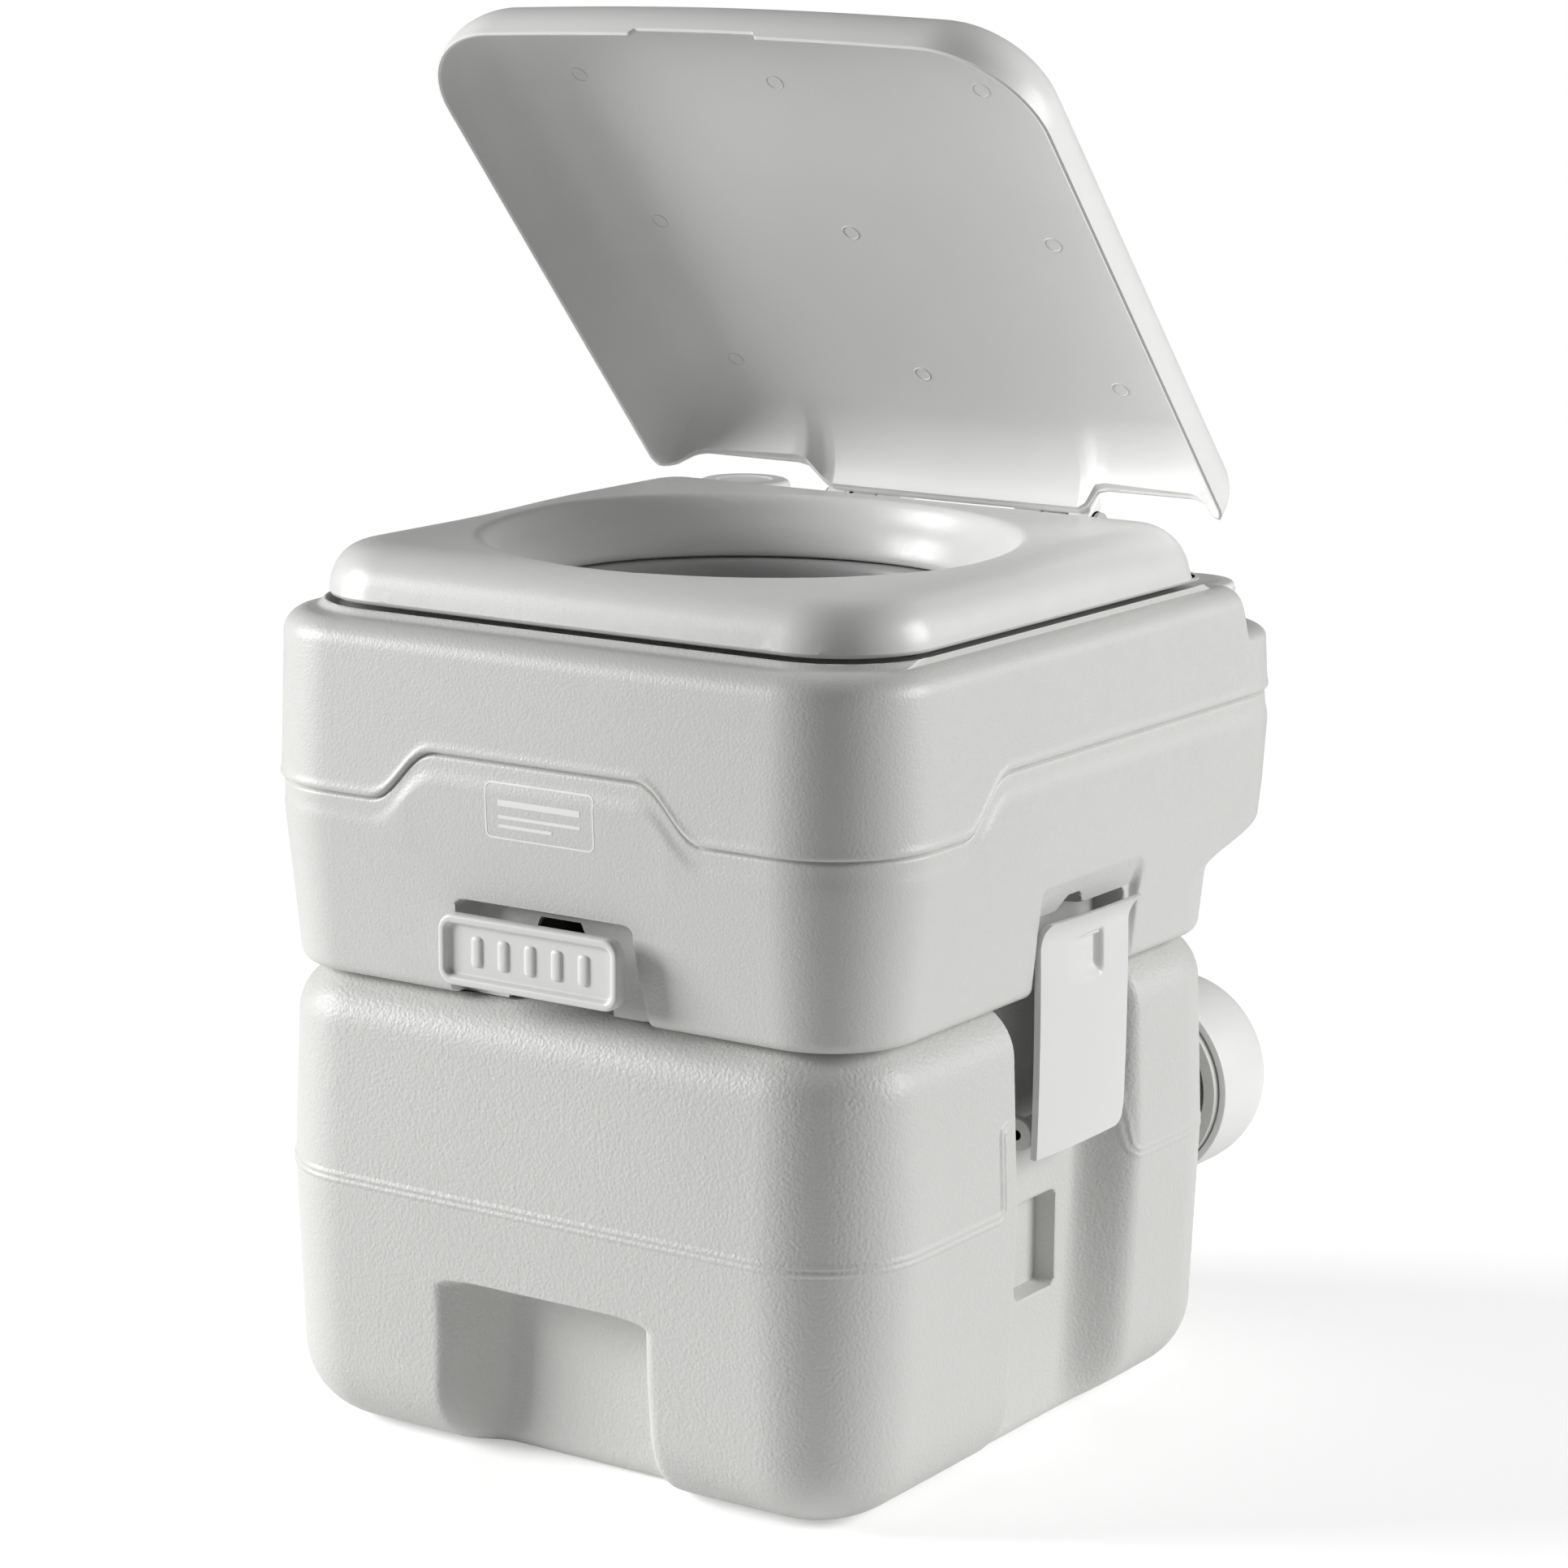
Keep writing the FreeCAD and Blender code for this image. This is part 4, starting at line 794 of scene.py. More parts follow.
    # well wall down to the bay, bay ceiling, bay wall and the bottom
    well = []
    for zz in np.linspace(s["high"] - 1.0, s["bayTop"], 14):
        a, b, m = ellipseAt(zz)
        well.append(np.column_stack([a * np.cos(angle), m + b * np.sin(angle), np.full(n, zz)]))
    bay = []
    c, d0 = (s["bayFront"] + s["bayBack"]) / 2, (s["bayBack"] - s["bayFront"]) / 2
    dirX, dirY = np.cos(angle), np.sin(angle)
    ring = well[-1]
    scale = 1.0 / np.maximum(np.abs(dirX) / s["bayHalf"], np.abs(dirY) / d0)
    square = np.stack([dirX * scale, c + dirY * scale], axis=1)
    for t in (0.3, 0.65, 0.97, 1.0):
        bay.append(rowAt(ring[:, :2] * (1 - t) + square * t, s["bayTop"]))
    for zz in (s["bayTop"] - 1, 250.0, 237.0, s["low"] + 1, s["low"]):
        bay.append(rowAt(square, zz))
    foot = outer[0]
    for t in (0.03, 0.35, 0.7, 0.97):
        bay.append(rowAt(square * (1 - t) + foot[:, :2] * t, s["low"]))
    rows = np.concatenate([outer, np.array(top), np.array(well), np.array(bay)])
    # the slot that the blade's stem passes through, behind the handle
    x, y, z = rows[..., 0], rows[..., 1], rows[..., 2]
    slotTop = np.interp(np.abs(x), [0, 11.5, 13, 17, 27, 29.5], [266.5, 266.5, 262.5, 257.0, 252.0, s["low"]])
    gate = (y < s["bayFront"] + 3.0) & (z < slotTop)
    z[:] = np.where(gate, slotTop - (slotTop - z) * 0.03, z)
    return rows


def shelfDrop(x, y):
    s = water
    beside = smooth((np.abs(x) - s["deckHalf"] + 4.0) / 8.0) * smooth((y - s["shelfFront"]) / 12.0)
    behind = smooth((y - s["deckBack"] + 4.0) / 8.0)
    return s["shelfDrop"] * np.maximum(beside, behind)


waterShell = gridObject("waterTank", waterShape(), [mats["waterTank"]], closeRows=True)
finishShell([waterShell], "waterTank", "tanks", panelsOf("water_tank"))
print("water tank made")


# seat
seat = {
    "halfWidth": 163.5, "front": -177.0, "back": 126.0, "corner": 48.0, "backCorner": 18.0, "wall": 2.6,
    "low": 397.5, "high": 425.6, "round": 26.0, "holeLow": (111.5, 105.0, -26.0), "holeTop": (131.0, 122.0, -33.0),
    "foot": 2.2, "crest": 6.0, "frontDip": 2.6,
}


def conePlace(x, y, low, top):
    # how far out between two ellipses a point lies: 0 on the lower one, 1 on the upper one
    lo, hi = np.full(x.shape, -0.6), np.full(x.shape, 3.0)
    for _ in range(26):
        mid = (lo + hi) / 2
        a, b, c = (low[i] + (top[i] - low[i]) * mid for i in range(3))
        outside = (x / a) ** 2 + ((y - c) / b) ** 2 > 1
        lo, hi = np.where(outside, mid, lo), np.where(outside, hi, mid)
    return (lo + hi) / 2


def softMin(a, b, k):
    h = np.clip(0.5 + 0.5 * (b - a) / k, 0, 1)
    return b * (1 - h) + a * h - k * h * (1 - h)


def seatHeight(x, y, shrink=0.0):
    s = seat
    softer = dict(s, backCorner=s["backCorner"] + 14.0)
    inset = np.clip(rectangleDistance(x, y, softer) - shrink, 0, 1e3)
    r = s["round"] - shrink
    rise = np.sqrt(np.maximum(r * r - np.maximum(r - inset, 0) ** 2, 0))
    dip = s["frontDip"] * smooth((40.0 - y) / 120.0)
    outerZ = s["high"] - s["round"] + rise - dip * smooth(inset / r)
    t = conePlace(x, y, s["holeLow"], s["holeTop"])
    bevel = s["low"] + 2.0 + (s["high"] - s["low"] - 2.0) * (t + 0.05 * np.sin(2 * math.pi * np.clip(t, 0, 1)))
    return softMin(outerZ, bevel - shrink * 0.9, s["crest"])


def seatShape():
    s = seat
    pts, nrm = planColumns(s, (), (), (), 4.0, 26)
    bow = 1.6 * (1 - (pts[:, 0] / s["halfWidth"]) ** 2) * (pts[:, 1] < s["front"] + 4)
    pts = pts.copy()
    pts[:, 1] -= bow
    a, b, c = s["holeLow"]
    angle = np.arctan2((pts[:, 1] - c) / b, pts[:, 0] / a)
    hole = np.stack([a * np.cos(angle), c + b * np.sin(angle)], axis=1)
    way = hole - pts
    length = np.linalg.norm(way, axis=1)
    way /= length[:, None]
    rows = []

    def across(shrink, order):
        made = []
        reach = length - 2 * shrink
        arc = np.minimum(s["round"], reach * 0.6)
        steps = [arc * (1 - math.cos(math.radians(90 * i / 16))) for i in range(17)]
        steps += [arc + (reach - arc) * t for t in np.linspace(0, 1, 27)[1:]]
        for d in steps:
            xy = pts + way * (d + shrink)[:, None]
            made.append(rowAt(xy, seatHeight(xy[:, 0], xy[:, 1], shrink)))
        return made if order > 0 else made[::-1]

    outside = across(0.0, 1)
    inside = across(s["wall"], -1)
    foot = s["low"]
    skirt = [rowAt(pts - nrm * inset, z)
            for inset, z in ((s["foot"], foot), (s["foot"] * 0.3, foot + 0.7), (0.0, foot + s["foot"]))]
    lipIn = [rowAt(hole - way * d, foot - drop)
            for d, drop in ((0.0, 0.2), (0.5, 1.3), (1.6, 1.7), (s["wall"], 1.7))]
    close = [rowAt(pts - nrm * s["wall"], foot)]
    return np.array(skirt + outside + lipIn + inside + close)


seatShell = gridObject("seatShell", seatShape(), [mats["seat"]], closeRows=True)


def seatArms():
    s = seat
    parts = []
    for side in (-1, 1):
        def arm(bm, side=side):
            x0, x1 = sorted((side * 50.0, side * 64.0))
            end = hinge["y"] - 5.5
            outline = [(s["back"] - 4, 403.5), (end, 405.0), (end, 409.5), (s["back"] - 4, 409.5)]
            addPrism(bm, outline, "x", x0, x1)
        parts.append(bevelled("seatArm", arm, [mats["seat"]], 1.2))
        x0, x1 = sorted((side * 50.0, side * 64.0))
        parts.append(latheObject("seatEye", roundProfile([(4.1, x0), (7.0, x0), (7.0, x1), (4.1, x1)], [0.9, 0.9]),
                (0, hinge["y"], hinge["z"]), (1, 0, 0), [mats["seat"]], 40))
    return parts


finishShell([seatShell] + seatArms(), "seat", "seat", [
    name for name in panelsOf("seat") if name != "seat_bumpers"])
print("seat made")


# lid, drawn closed and then swung open
lid = {
    "halfWidth": 169.0, "front": -180.0, "back": 131.0, "corner": 50.0, "backCorner": 12.0,
    "rim": 396.5, "high": 434.0,
    "round": 34.0, "wall": 2.4, "bow": 6.0, "fingerHalf": 34.0, "fingerLift": 3.0,
    "rearX": (0, 73, 78, 86, 92, 144, 150, 158, 166, 172),
    "rearShift": (21.0, 20.6, 18.0, 8.5, 6.5, 0.5, 0.0, 0.0, 0.0, 0.0),
    "rimZ": (411, 411, 412, 415.5, 415.5, 411, 409, 402, 396.5, 396.5),
}


def lidShell():
    s = lid
    rearMarks = [(-82, 12, 17), (82, 12, 17), (-155, 12, 13), (155, 12, 13)]
    pts, nrm = planColumns(s, [(-34, 3, 7), (34, 3, 7)], (), rearMarks, 4.0, 24)
    onRear = pts[:, 1] > s["back"] - 5
    shift = np.interp(np.abs(pts[:, 0]), s["rearX"], s["rearShift"])
    bow = s["bow"] * np.maximum(np.cos(pts[:, 0] / s["halfWidth"] * math.pi / 2), 0)
    bow = bow * smooth((20.0 - pts[:, 1]) / 190.0)
    rim = np.where(onRear, np.interp(np.abs(pts[:, 0]), s["rearX"], s["rimZ"]), s["rim"])
    finger = smooth((s["fingerHalf"] + 1.5 - np.abs(pts[:, 0])) / 3.0) * (pts[:, 1] < s["front"] + 4)
    rim = rim + s["fingerLift"] * finger

    def skin(shrink):
        rows = []
        r = s["round"] - shrink
        high = s["high"] - shrink
        bend = high - r
        for t in (0.0, 0.35, 0.7, 1.0):
            z = np.minimum(rim + (np.maximum(bend, rim) - rim) * t, np.maximum(bend, rim))
            rows.append((z, 1.1 - 0.03 * (s["high"] - z)))
        for i in range(1, 17):
            a = math.radians(90 * i / 16)
            z = bend + r * math.sin(a)
            zz = np.maximum(z, rim + 0.02 * i)
            inset = r * (1 - np.sqrt(np.clip(1 - ((zz - bend) / r) ** 2, 0, 1)))
            rows.append((zz, inset))
        out = []
        for z, inset in rows:
            inset = np.maximum(inset, 0)
            d = inset + shrink
            px = np.clip(pts[:, 0] - nrm[:, 0] * d, d - s["halfWidth"], s["halfWidth"] - d)
            py = np.clip(pts[:, 1] - nrm[:, 1] * d, s["front"] + d, s["back"] - d) - bow
            # the rear edge is stepped; the step fades forwards
            weight = np.clip((py - 60.0) / (s["back"] - 60.0), 0, 1.02)
            py = py + np.interp(np.abs(px), s["rearX"], s["rearShift"]) * weight
            out.append(rowAt(np.column_stack([px, py]), z))
        last = out[-1]
        hub = np.array([0.0, -20.0, high])
        for k in (0.86, 0.62, 0.36, 0.14):
            out.append(hub + (last - hub) * k)
        return out

    outer, inner = skin(0.0), skin(s["wall"])
    mid = (outer[0] + inner[0]) / 2
    mid[:, 2] -= 0.55
    rows = inner[::-1] + [mid] + outer
    return gridObject("lidShell", rows, [mats["lid"]], poles=(True, True), sharpAngle=50)


def lidHinge():
    # knuckles with their webs, and a three-cornered gusset beside each
    parts = []
    for side in (-1, 1):
        x0, x1 = sorted((side * 66.0, side * 78.0))

        def web(bm, x0=x0, x1=x1):
            outline = [(150.6, 409.0), (hinge["y"] - 6, 406.5), (hinge["y"], 404.2), (hinge["y"], 419.8)]
            outline += [(152.2, 424), (150.6, 424)]
            addPrism(bm, outline, "x", x0, x1)

        parts.append(bevelled("lidWeb", web, [mats["lid"]], 1.0))
        parts.append(latheObject("lidEye", roundProfile([(4.1, x0), (8.0, x0), (8.0, x1), (4.1, x1)], [1.0, 1.0]),
                (0, hinge["y"], hinge["z"]), (1, 0, 0), [mats["lid"]], 40))

        def gusset(bm, side=side):
            addPrism(bm, [(151.0, 412.5), (151.0, 428.0), (138.0, 424.0)], "x", side * 76.6 - 1.2, side * 76.6 + 1.2)

        parts.append(bevelled("lidGusset", gusset, [mats["lid"]], 0.4, 2))
    return parts


# repeated details, by geometry nodes
def treeWith(name, sockets):
    return makeTree("GeometryNodeTree", name, sockets + [("Finish", "Material", None)], [("Geometry", "Geometry")])


def endTree(tree, ins, outs, points, instance):
    # a copy on each point, made real and given its finish
    spread = node(tree, "GeometryNodeInstanceOnPoints", {"Points": points, "Instance": instance})
    real = node(tree, "GeometryNodeRealizeInstances", {"Geometry": spread.outputs[0]})
    done = node(tree, "GeometryNodeSetMaterial", {"Geometry": real.outputs[0], "Material": ins.outputs["Finish"]})
    tree.links.new(done.outputs[0], outs.inputs[0])
    return tree


def ringRowTree():
    # a torus-like ring on each point of a grid, standing on the z plane
    tree, ins, outs = treeWith("ringGrid", [("Across", "Float", 0.2), ("Along", "Float", 0.2),
            ("Columns", "Int", 3), ("Rows", "Int", 3),
            ("Ring Radius", "Float", 0.004),
            ("Ring Height", "Float", 0.0004)])
    grid = node(tree, "GeometryNodeMeshGrid", {"Size X": ins.outputs["Across"], "Size Y": ins.outputs["Along"],
            "Vertices X": ins.outputs["Columns"], "Vertices Y": ins.outputs["Rows"]})
    big = node(tree, "GeometryNodeCurvePrimitiveCircle", {"Resolution": 40, "Radius": ins.outputs["Ring Radius"]})
    small = node(tree, "GeometryNodeCurvePrimitiveCircle", {"Resolution": 8, "Radius": ins.outputs["Ring Height"]})
    tube = node(tree, "GeometryNodeCurveToMesh", {"Curve": big.outputs[0], "Profile Curve": small.outputs[0]})
    return endTree(tree, ins, outs, grid.outputs["Mesh"], tube.outputs[0])


def ribRingTree():
    # upright grip ribs round a circle
    tree, ins, outs = treeWith("ribRing", [("Count", "Int", 48), ("Radius", "Float", 0.025),
            ("Rib Width", "Float", 0.0016), ("Rib Length", "Float", 0.01)])
    circle = node(tree, "GeometryNodeMeshCircle", {"Vertices": ins.outputs["Count"], "Radius": ins.outputs["Radius"]})
    half = node(tree, "ShaderNodeMath", {0: ins.outputs["Rib Width"], 1: 0.5}, operation="MULTIPLY")
    rib = node(tree, "GeometryNodeMeshCylinder", {"Vertices": 10, "Radius": half.outputs[0],
            "Depth": ins.outputs["Rib Length"]})
    return endTree(tree, ins, outs, circle.outputs[0], rib.outputs["Mesh"])


def grownMesh(name, tree, values, place=None):
    # runs a tree on an empty mesh and keeps the result as a plain mesh
    holder = linked(name + "Source", bpy.data.meshes.new(name + "Source"))
    mod = holder.modifiers.new("build", "NODES")
    mod.node_group = tree
    for item in tree.interface.items_tree:
        if item.item_type == "SOCKET" and item.in_out == "INPUT" and item.name in values:
            mod[item.identifier] = values[item.name]
    bpy.context.view_layer.update()
    graph = bpy.context.evaluated_depsgraph_get()
    mesh = bpy.data.meshes.new_from_object(holder.evaluated_get(graph))
    bpy.data.objects.remove(holder)
    mesh.name = name
    if place is not None:
        mesh.transform(place)
    for p in mesh.polygons:
        p.use_smooth = True
    mesh.set_sharp_from_angle(angle=math.radians(40))
    return linked(name, mesh)


ringGrid = ringRowTree()
ribRing = ribRingTree()


def lidMarks():
    # shallow ejector rings on the lid's inner face
    z = lid["high"] - lid["wall"]
    place = Matrix.Translation(Vector((0, -22.0, z - 0.05)) * mm)
    return grownMesh("lidMarks", ringGrid, {"Across": 0.226, "Along": 0.2, "Columns": 3, "Rows": 3,
            "Ring Radius": 0.0042, "Ring Height": 0.00028, "Finish": mats["lid"]}, place)


lidWhole = joinObjects("lid", [lidShell()] + lidHinge() + [lidMarks()])
turned(lidWhole, hinge["open"])
finishShell([lidWhole], "lid", "lid", panelsOf("lid"))
print("lid made")


# bowl
bowl = {"half": (112.0, 105.0), "middle": -26.0, "wall": 2.5, "flange": 12.0, "high": 393.0, "low": 261.8,
        "outlet": 47.5,
        "outletMiddle": -20.0, "curve": 2.2}


def bowlMesh():
    s = bowl
    turns = 160
    a = np.linspace(0, 2 * math.pi, turns, endpoint=False)

    def ring(z, grow, down):
        swell = 1 - down ** s["curve"]
        hx = s["outlet"] + (s["half"][0] - s["outlet"]) * swell + grow
        hy = s["outlet"] + (s["half"][1] - s["outlet"]) * swell + grow
        m = s["middle"] + (s["outletMiddle"] - s["middle"]) * down
        return np.column_stack([hx * np.cos(a), m + hy * np.sin(a), np.full(turns, z)])

    def wallRows(steps, grow):
        return [ring(s["high"] - (s["high"] - s["low"]) * k, grow, k) for k in steps]

    top, edge = s["high"] + 2.0, s["flange"]
    rows = wallRows(np.linspace(1, 0, 40), 0.0)
    for z, grow in ((s["high"], edge - 0.7), (s["high"] + 0.7, edge), (top - 0.6, edge), (top, edge - 0.7),
            (top, 3.0), (top - 0.15, 1.2), (top - 0.8, -0.4), (top - 2.0, -1.6)):
        rows.append(ring(z, grow, 0.0))
    rows += wallRows(np.linspace(0.02, 1, 44), -s["wall"])
    return gridObject("bowlMesh", rows, [mats["bowl"]], closeRows=True, sharpAngle=50)


finishShell([bowlMesh()], "bowl", "tanks", ["bowl"])


# flush nozzle
nozzle = {"rise": 14.0}


def nozzleMesh():
    # a rounded hood on the bowl's wall, open below
    low, high = boxMm("flush_nozzle")
    centre = Vector(((low[0] + high[0]) / 2, (low[1] + high[1]) / 2, 0))
    inward = (Vector((0, bowl["middle"], 0)) - centre).normalized()
    side = Vector((-inward.y, inward.x, 0))
    base = centre - inward * 5.5
    parts = []

    def hood(bm):
        w, d, z0, z1 = 13.5, 15.0, low[2] + 0.4, high[2] + nozzle["rise"]
        outline = []
        for k in range(9):
            t = math.radians(90 * k / 8)
            outline.append((w - 6 + 6 * math.sin(t), d - 6 + 6 * math.cos(t)))
        half = [(w, -2.0)] + outline[::-1]
        loop = half + [(-u, v) for u, v in half[::-1]]
        lowV = [bm.verts.new(base + side * u + inward * v + Vector((0, 0, z0))) for u, v in loop]
        highV = [bm.verts.new(base + side * u + inward * v + Vector((0, 0, z1))) for u, v in loop]
        bm.faces.new(highV)
        n = len(loop)
        for i in range(n):
            bm.faces.new((lowV[i], lowV[(i + 1) % n], highV[(i + 1) % n], highV[i]))
        inset = [(u * 0.86, v * 0.86 - 0.4) for u, v in loop]
        inV = [bm.verts.new(base + side * u + inward * v + Vector((0, 0, z0))) for u, v in inset]
        upV = [bm.verts.new(base + side * u + inward * v + Vector((0, 0, z1 - 8))) for u, v in inset]
        for i in range(n):
            bm.faces.new((lowV[(i + 1) % n], lowV[i], inV[i], inV[(i + 1) % n]))
            bm.faces.new((inV[(i + 1) % n], inV[i], upV[i], upV[(i + 1) % n]))
        bm.faces.new(upV[::-1])

    return bevelled("flushNozzle", hood, [mats["waterTank"]], 1.6, 3, 40)


finishShell([nozzleMesh()], "flushNozzle", "tanks", ["flush_nozzle"])
print("bowl and nozzle made")


# latches
latch = {
    "face": 174.0, "thick": 3.4, "front": -46.6, "back": 34.0, "low": 148.0, "high": 260.0, "lip": 7.0, "bow": 1.4,
    "topFront": 3.5, "lowRear": 9.0, "pocket": (-22.7, 9.0, 226.0, 249.0), "pocketDepth": 4.6,
    "pivotX": 160.0, "pivotZ": 158.0,
}


def latchPlate():
    s = latch
    marks = [(s["front"] + 3, 4, 9), (s["pocket"][1] - 1, 3.0, 9), (s["back"] - 4, 5, 9)]
    cols = stations(s["front"], s["back"], 2.6, marks)
    lowZ = s["low"] + s["lowRear"] - np.sqrt(np.maximum(s["lowRear"] ** 2 -
            np.maximum(cols - s["back"] + s["lowRear"], 0) ** 2, 0))
    highZ = s["high"] - s["topFront"] + np.sqrt(np.maximum(s["topFront"] ** 2 -
            np.maximum(s["front"] + s["topFront"] - cols, 0) ** 2, 0))
    ts = np.concatenate([[0, 0.012, 0.03], np.linspace(0.06, 0.66, 18), np.linspace(0.68, 0.95, 26),
            [0.965, 0.98, 0.99, 1.0]])

    def skin(shift):
        rows = []
        for t in ts:
            z = lowZ + (highZ - lowZ) * t
            along = (cols - s["front"]) / (s["back"] - s["front"])
            x = s["face"] - s["bow"] * (2 * along - 1) ** 2 - 0.8 * (2 * t - 1) ** 2
            flare = np.clip((z - (s["high"] - 13.0)) / 13.0, 0, 1)
            x = x + (s["lip"] + 0.6) * flare ** 2 * (0.65 + 0.35 * along)
            p0, p1, q0, q1 = s["pocket"]
            slope = np.clip((cols - p0) / (p1 - p0), 0, 1)
            edge = np.clip((p1 - cols) / 3.0, 0, 1) * np.clip((z - q0) / 5.0, 0, 1) * smooth((q1 - z) / 3.0)
            x = x - s["pocketDepth"] * slope * edge
            rows.append(np.column_stack([x - shift, cols, z]))
        return rows

    out, back = skin(0.0), skin(s["thick"])
    lowMid = (out[0] + back[0]) / 2 - np.array([0, 0, 0.5])
    topMid = (out[-1] + back[-1]) / 2 + np.array([0, 0, 0.5])
    rows = np.array(out + [topMid] + back[::-1] + [lowMid])
    nr, nc = rows.shape[:2]
    obj = gridObject("latchPlate", rows, [mats["latch"]], closeRows=True, closeCols=False)
    bm = bmesh.new()
    bm.from_mesh(obj.data)
    bm.verts.ensure_lookup_table()
    for col in (0, nc - 1):
        n = len(out)
        for i in range(n - 1):
            a, b = i * nc + col, (i + 1) * nc + col
            j = len(out) + 1 + (n - 1 - i)
            c, d = (j - 1) * nc + col, j * nc + col
            bm.faces.new([bm.verts[k] for k in (a, b, c, d)])
        bm.faces.new([bm.verts[k] for k in ((n - 1) * nc + col, n * nc + col, (n + 1) * nc + col)])
        bm.faces.new([bm.verts[k] for k in ((nr - 1) * nc + col, 0 * nc + col, (nr - 2) * nc + col)])
    bmesh.ops.recalc_face_normals(bm, faces=bm.faces)
    bm.to_mesh(obj.data)
    bm.free()
    for p in obj.data.polygons:
        p.use_smooth = True
    return obj


def latchParts(side):
    s = latch
    parts = [latchPlate()]
    y0, y1 = s["front"] + 1 + 5.5 + 1, s["back"] - 1 - 5.5 - 1

    def web(bm):
        addBlock(bm, s["pivotX"], s["face"] - 2.4, y0, y1, s["pivotZ"] - 3, s["pivotZ"] + 3)

    def hook(bm):
        root = s["face"] - 2.4
        addPrism(bm, [(158.0, 246.0), (158.0, 250.6), (root, 251.0), (root, 246.0)], "y", -24.3, 11.7)

    def ribs(bm):
        for y in (-30.0, -6.0, 18.0):
            addBlock(bm, s["face"] - 6.2, s["face"] - 2.6, y - 1, y + 1, 166.0, 240.0)

    parts.append(bevelled("latchWeb", web, [mats["latch"]], 0.8))
    parts.append(bevelled("latchHook", hook, [mats["latch"]], 0.7))
    parts.append(bevelled("latchRibs", ribs, [mats["latch"]], 0.4, 2))
    parts.append(latheObject("latchEye", roundProfile([(2.6, y0), (6.0, y0), (6.0, y1), (2.6, y1)], [0.8, 0.8]),
            (s["pivotX"], 0, s["pivotZ"]), (0, 1, 0), [mats["latch"]], 32))
    whole = joinObjects("latchRight" if side > 0 else "latchLeft", parts)
    if side < 0:
        whole.data.transform(Matrix.Scale(-1, 4, Vector((1, 0, 0))))
        whole.data.flip_normals()
    return whole


for side, body in ((1, "latch_right"), (-1, "latch_left")):
    finishShell([latchParts(side)], "latchRight" if side > 0 else "latchLeft", body, [body])


# ears on the waste tank that the latches turn on
def latchEars():
    parts = []
    for side in (-1, 1):
        for y0 in (latch["front"] + 1, latch["back"] - 1 - 5.5):
            def ear(bm, side=side, y0=y0):
                outline = [(side * 144.0, latch["pivotZ"] - 11), (side * 160.0, latch["pivotZ"] - 8)]
                for k in range(1, 12):
                    a = math.radians(-90 + 15 * k)
                    outline.append((side * (160.0 + 8 * math.cos(a)), latch["pivotZ"] + 8 * math.sin(a)))
                outline += [(side * 160.0, latch["pivotZ"] + 8), (side * 144.0, latch["pivotZ"] + 11)]
                addPrism(bm, outline, "y", y0, y0 + 5.5)
            parts.append(bevelled("latchEar", ear, [mats["wasteTank"]], 0.7, 2))
    return parts


finishShell(latchEars(), "latchEars", "tanks", [])
print("latches made")


# pull handle
handle = {"halfWidth": 50.5, "front": 234.0, "back": 267.0, "corner": 8.0, "face": -209.5, "rear": -203.0, "rim": 4.5,
        "dish": 3.2, "bars": 5, "barPitch": 15.0, "barWidth": 7.0, "barHeight": 15.0}


def handlePlate():
    s = handle
    pts, nrm = planColumns(s, (), (), (), 4.0, 12)
    f, r = s["face"], s["rear"]
    rows = []
    for y, cut in ((r, 8.0), (r, 1.0), (r - 0.3, 0.25), (r - 0.9, 0.0), (f + 1.5, 0.0), (f + 0.75, 0.18),
            (f + 0.2, 0.65),
            (f, 1.4), (f, 2.6), (f + 0.2, 3.4), (f + 0.7, 3.95), (f + 1.4, 4.2), (f + 2.4, 4.5),
            (f + s["dish"] - 0.25, 4.75), (f + s["dish"], 5.4), (f + s["dish"], 6.6), (f + s["dish"], 8.0)):
        plan = pts - nrm * cut
        rows.append(np.column_stack([plan[:, 0], np.full(len(pts), y), plan[:, 1]]))
    return gridObject("handlePlate", rows, [mats["latch"]], poles=(True, True), sharpAngle=60)


def barRowTree():
    # soft upright bars in a row
    tree, ins, outs = treeWith("barRow", [("Count", "Int", 5), ("Pitch", "Float", 0.015),
            ("Bar Size", "Vector", (0.007, 0.003, 0.014))])
    step = node(tree, "ShaderNodeCombineXYZ", {"X": ins.outputs["Pitch"]})
    line = node(tree, "GeometryNodeMeshLine", {"Count": ins.outputs["Count"], "Offset": step.outputs[0]})
    cube = node(tree, "GeometryNodeMeshCube", {"Size": ins.outputs["Bar Size"], "Vertices X": 2, "Vertices Y": 2,
            "Vertices Z": 6})
    soft = node(tree, "GeometryNodeSubdivisionSurface", {"Mesh": cube.outputs["Mesh"], "Level": 2})
    return endTree(tree, ins, outs, line.outputs[0], soft.outputs[0])


def handleParts():
    s = handle
    first = -(s["bars"] - 1) / 2 * s["barPitch"]
    z = (s["front"] + s["back"]) / 2
    place = Matrix.Translation(Vector((first, s["face"] + s["dish"] + 0.1, z)) * mm)
    bars = grownMesh("handleBars", barRowTree(), {"Count": s["bars"], "Pitch": s["barPitch"] * mm,
            "Bar Size": (s["barWidth"] * mm, 0.003, s["barHeight"] * mm),
            "Finish": mats["latch"]}, place)

    def boss(bm):
        addBlock(bm, -24, 24, s["rear"] - 0.6, -190.2, 240.2, 251.6)

    return [handlePlate(), bars, bevelled("handleBoss", boss, [mats["latch"]], 1.2)]


finishShell(handleParts(), "pullHandle", "valve_gate", ["pull_handle"])
print("handle made")


# spout, caps and knob
spout = {"x": 107.0, "z": 128.0, "start": 163.0, "depth": 57.0, "radius": 51.0, "wall": 2.6,
        "round": 27.0, "tube": 20.5,
        "tubeY": 193.0, "reach": 82.0, "capRadius": 28.0, "capLength": 22.0}


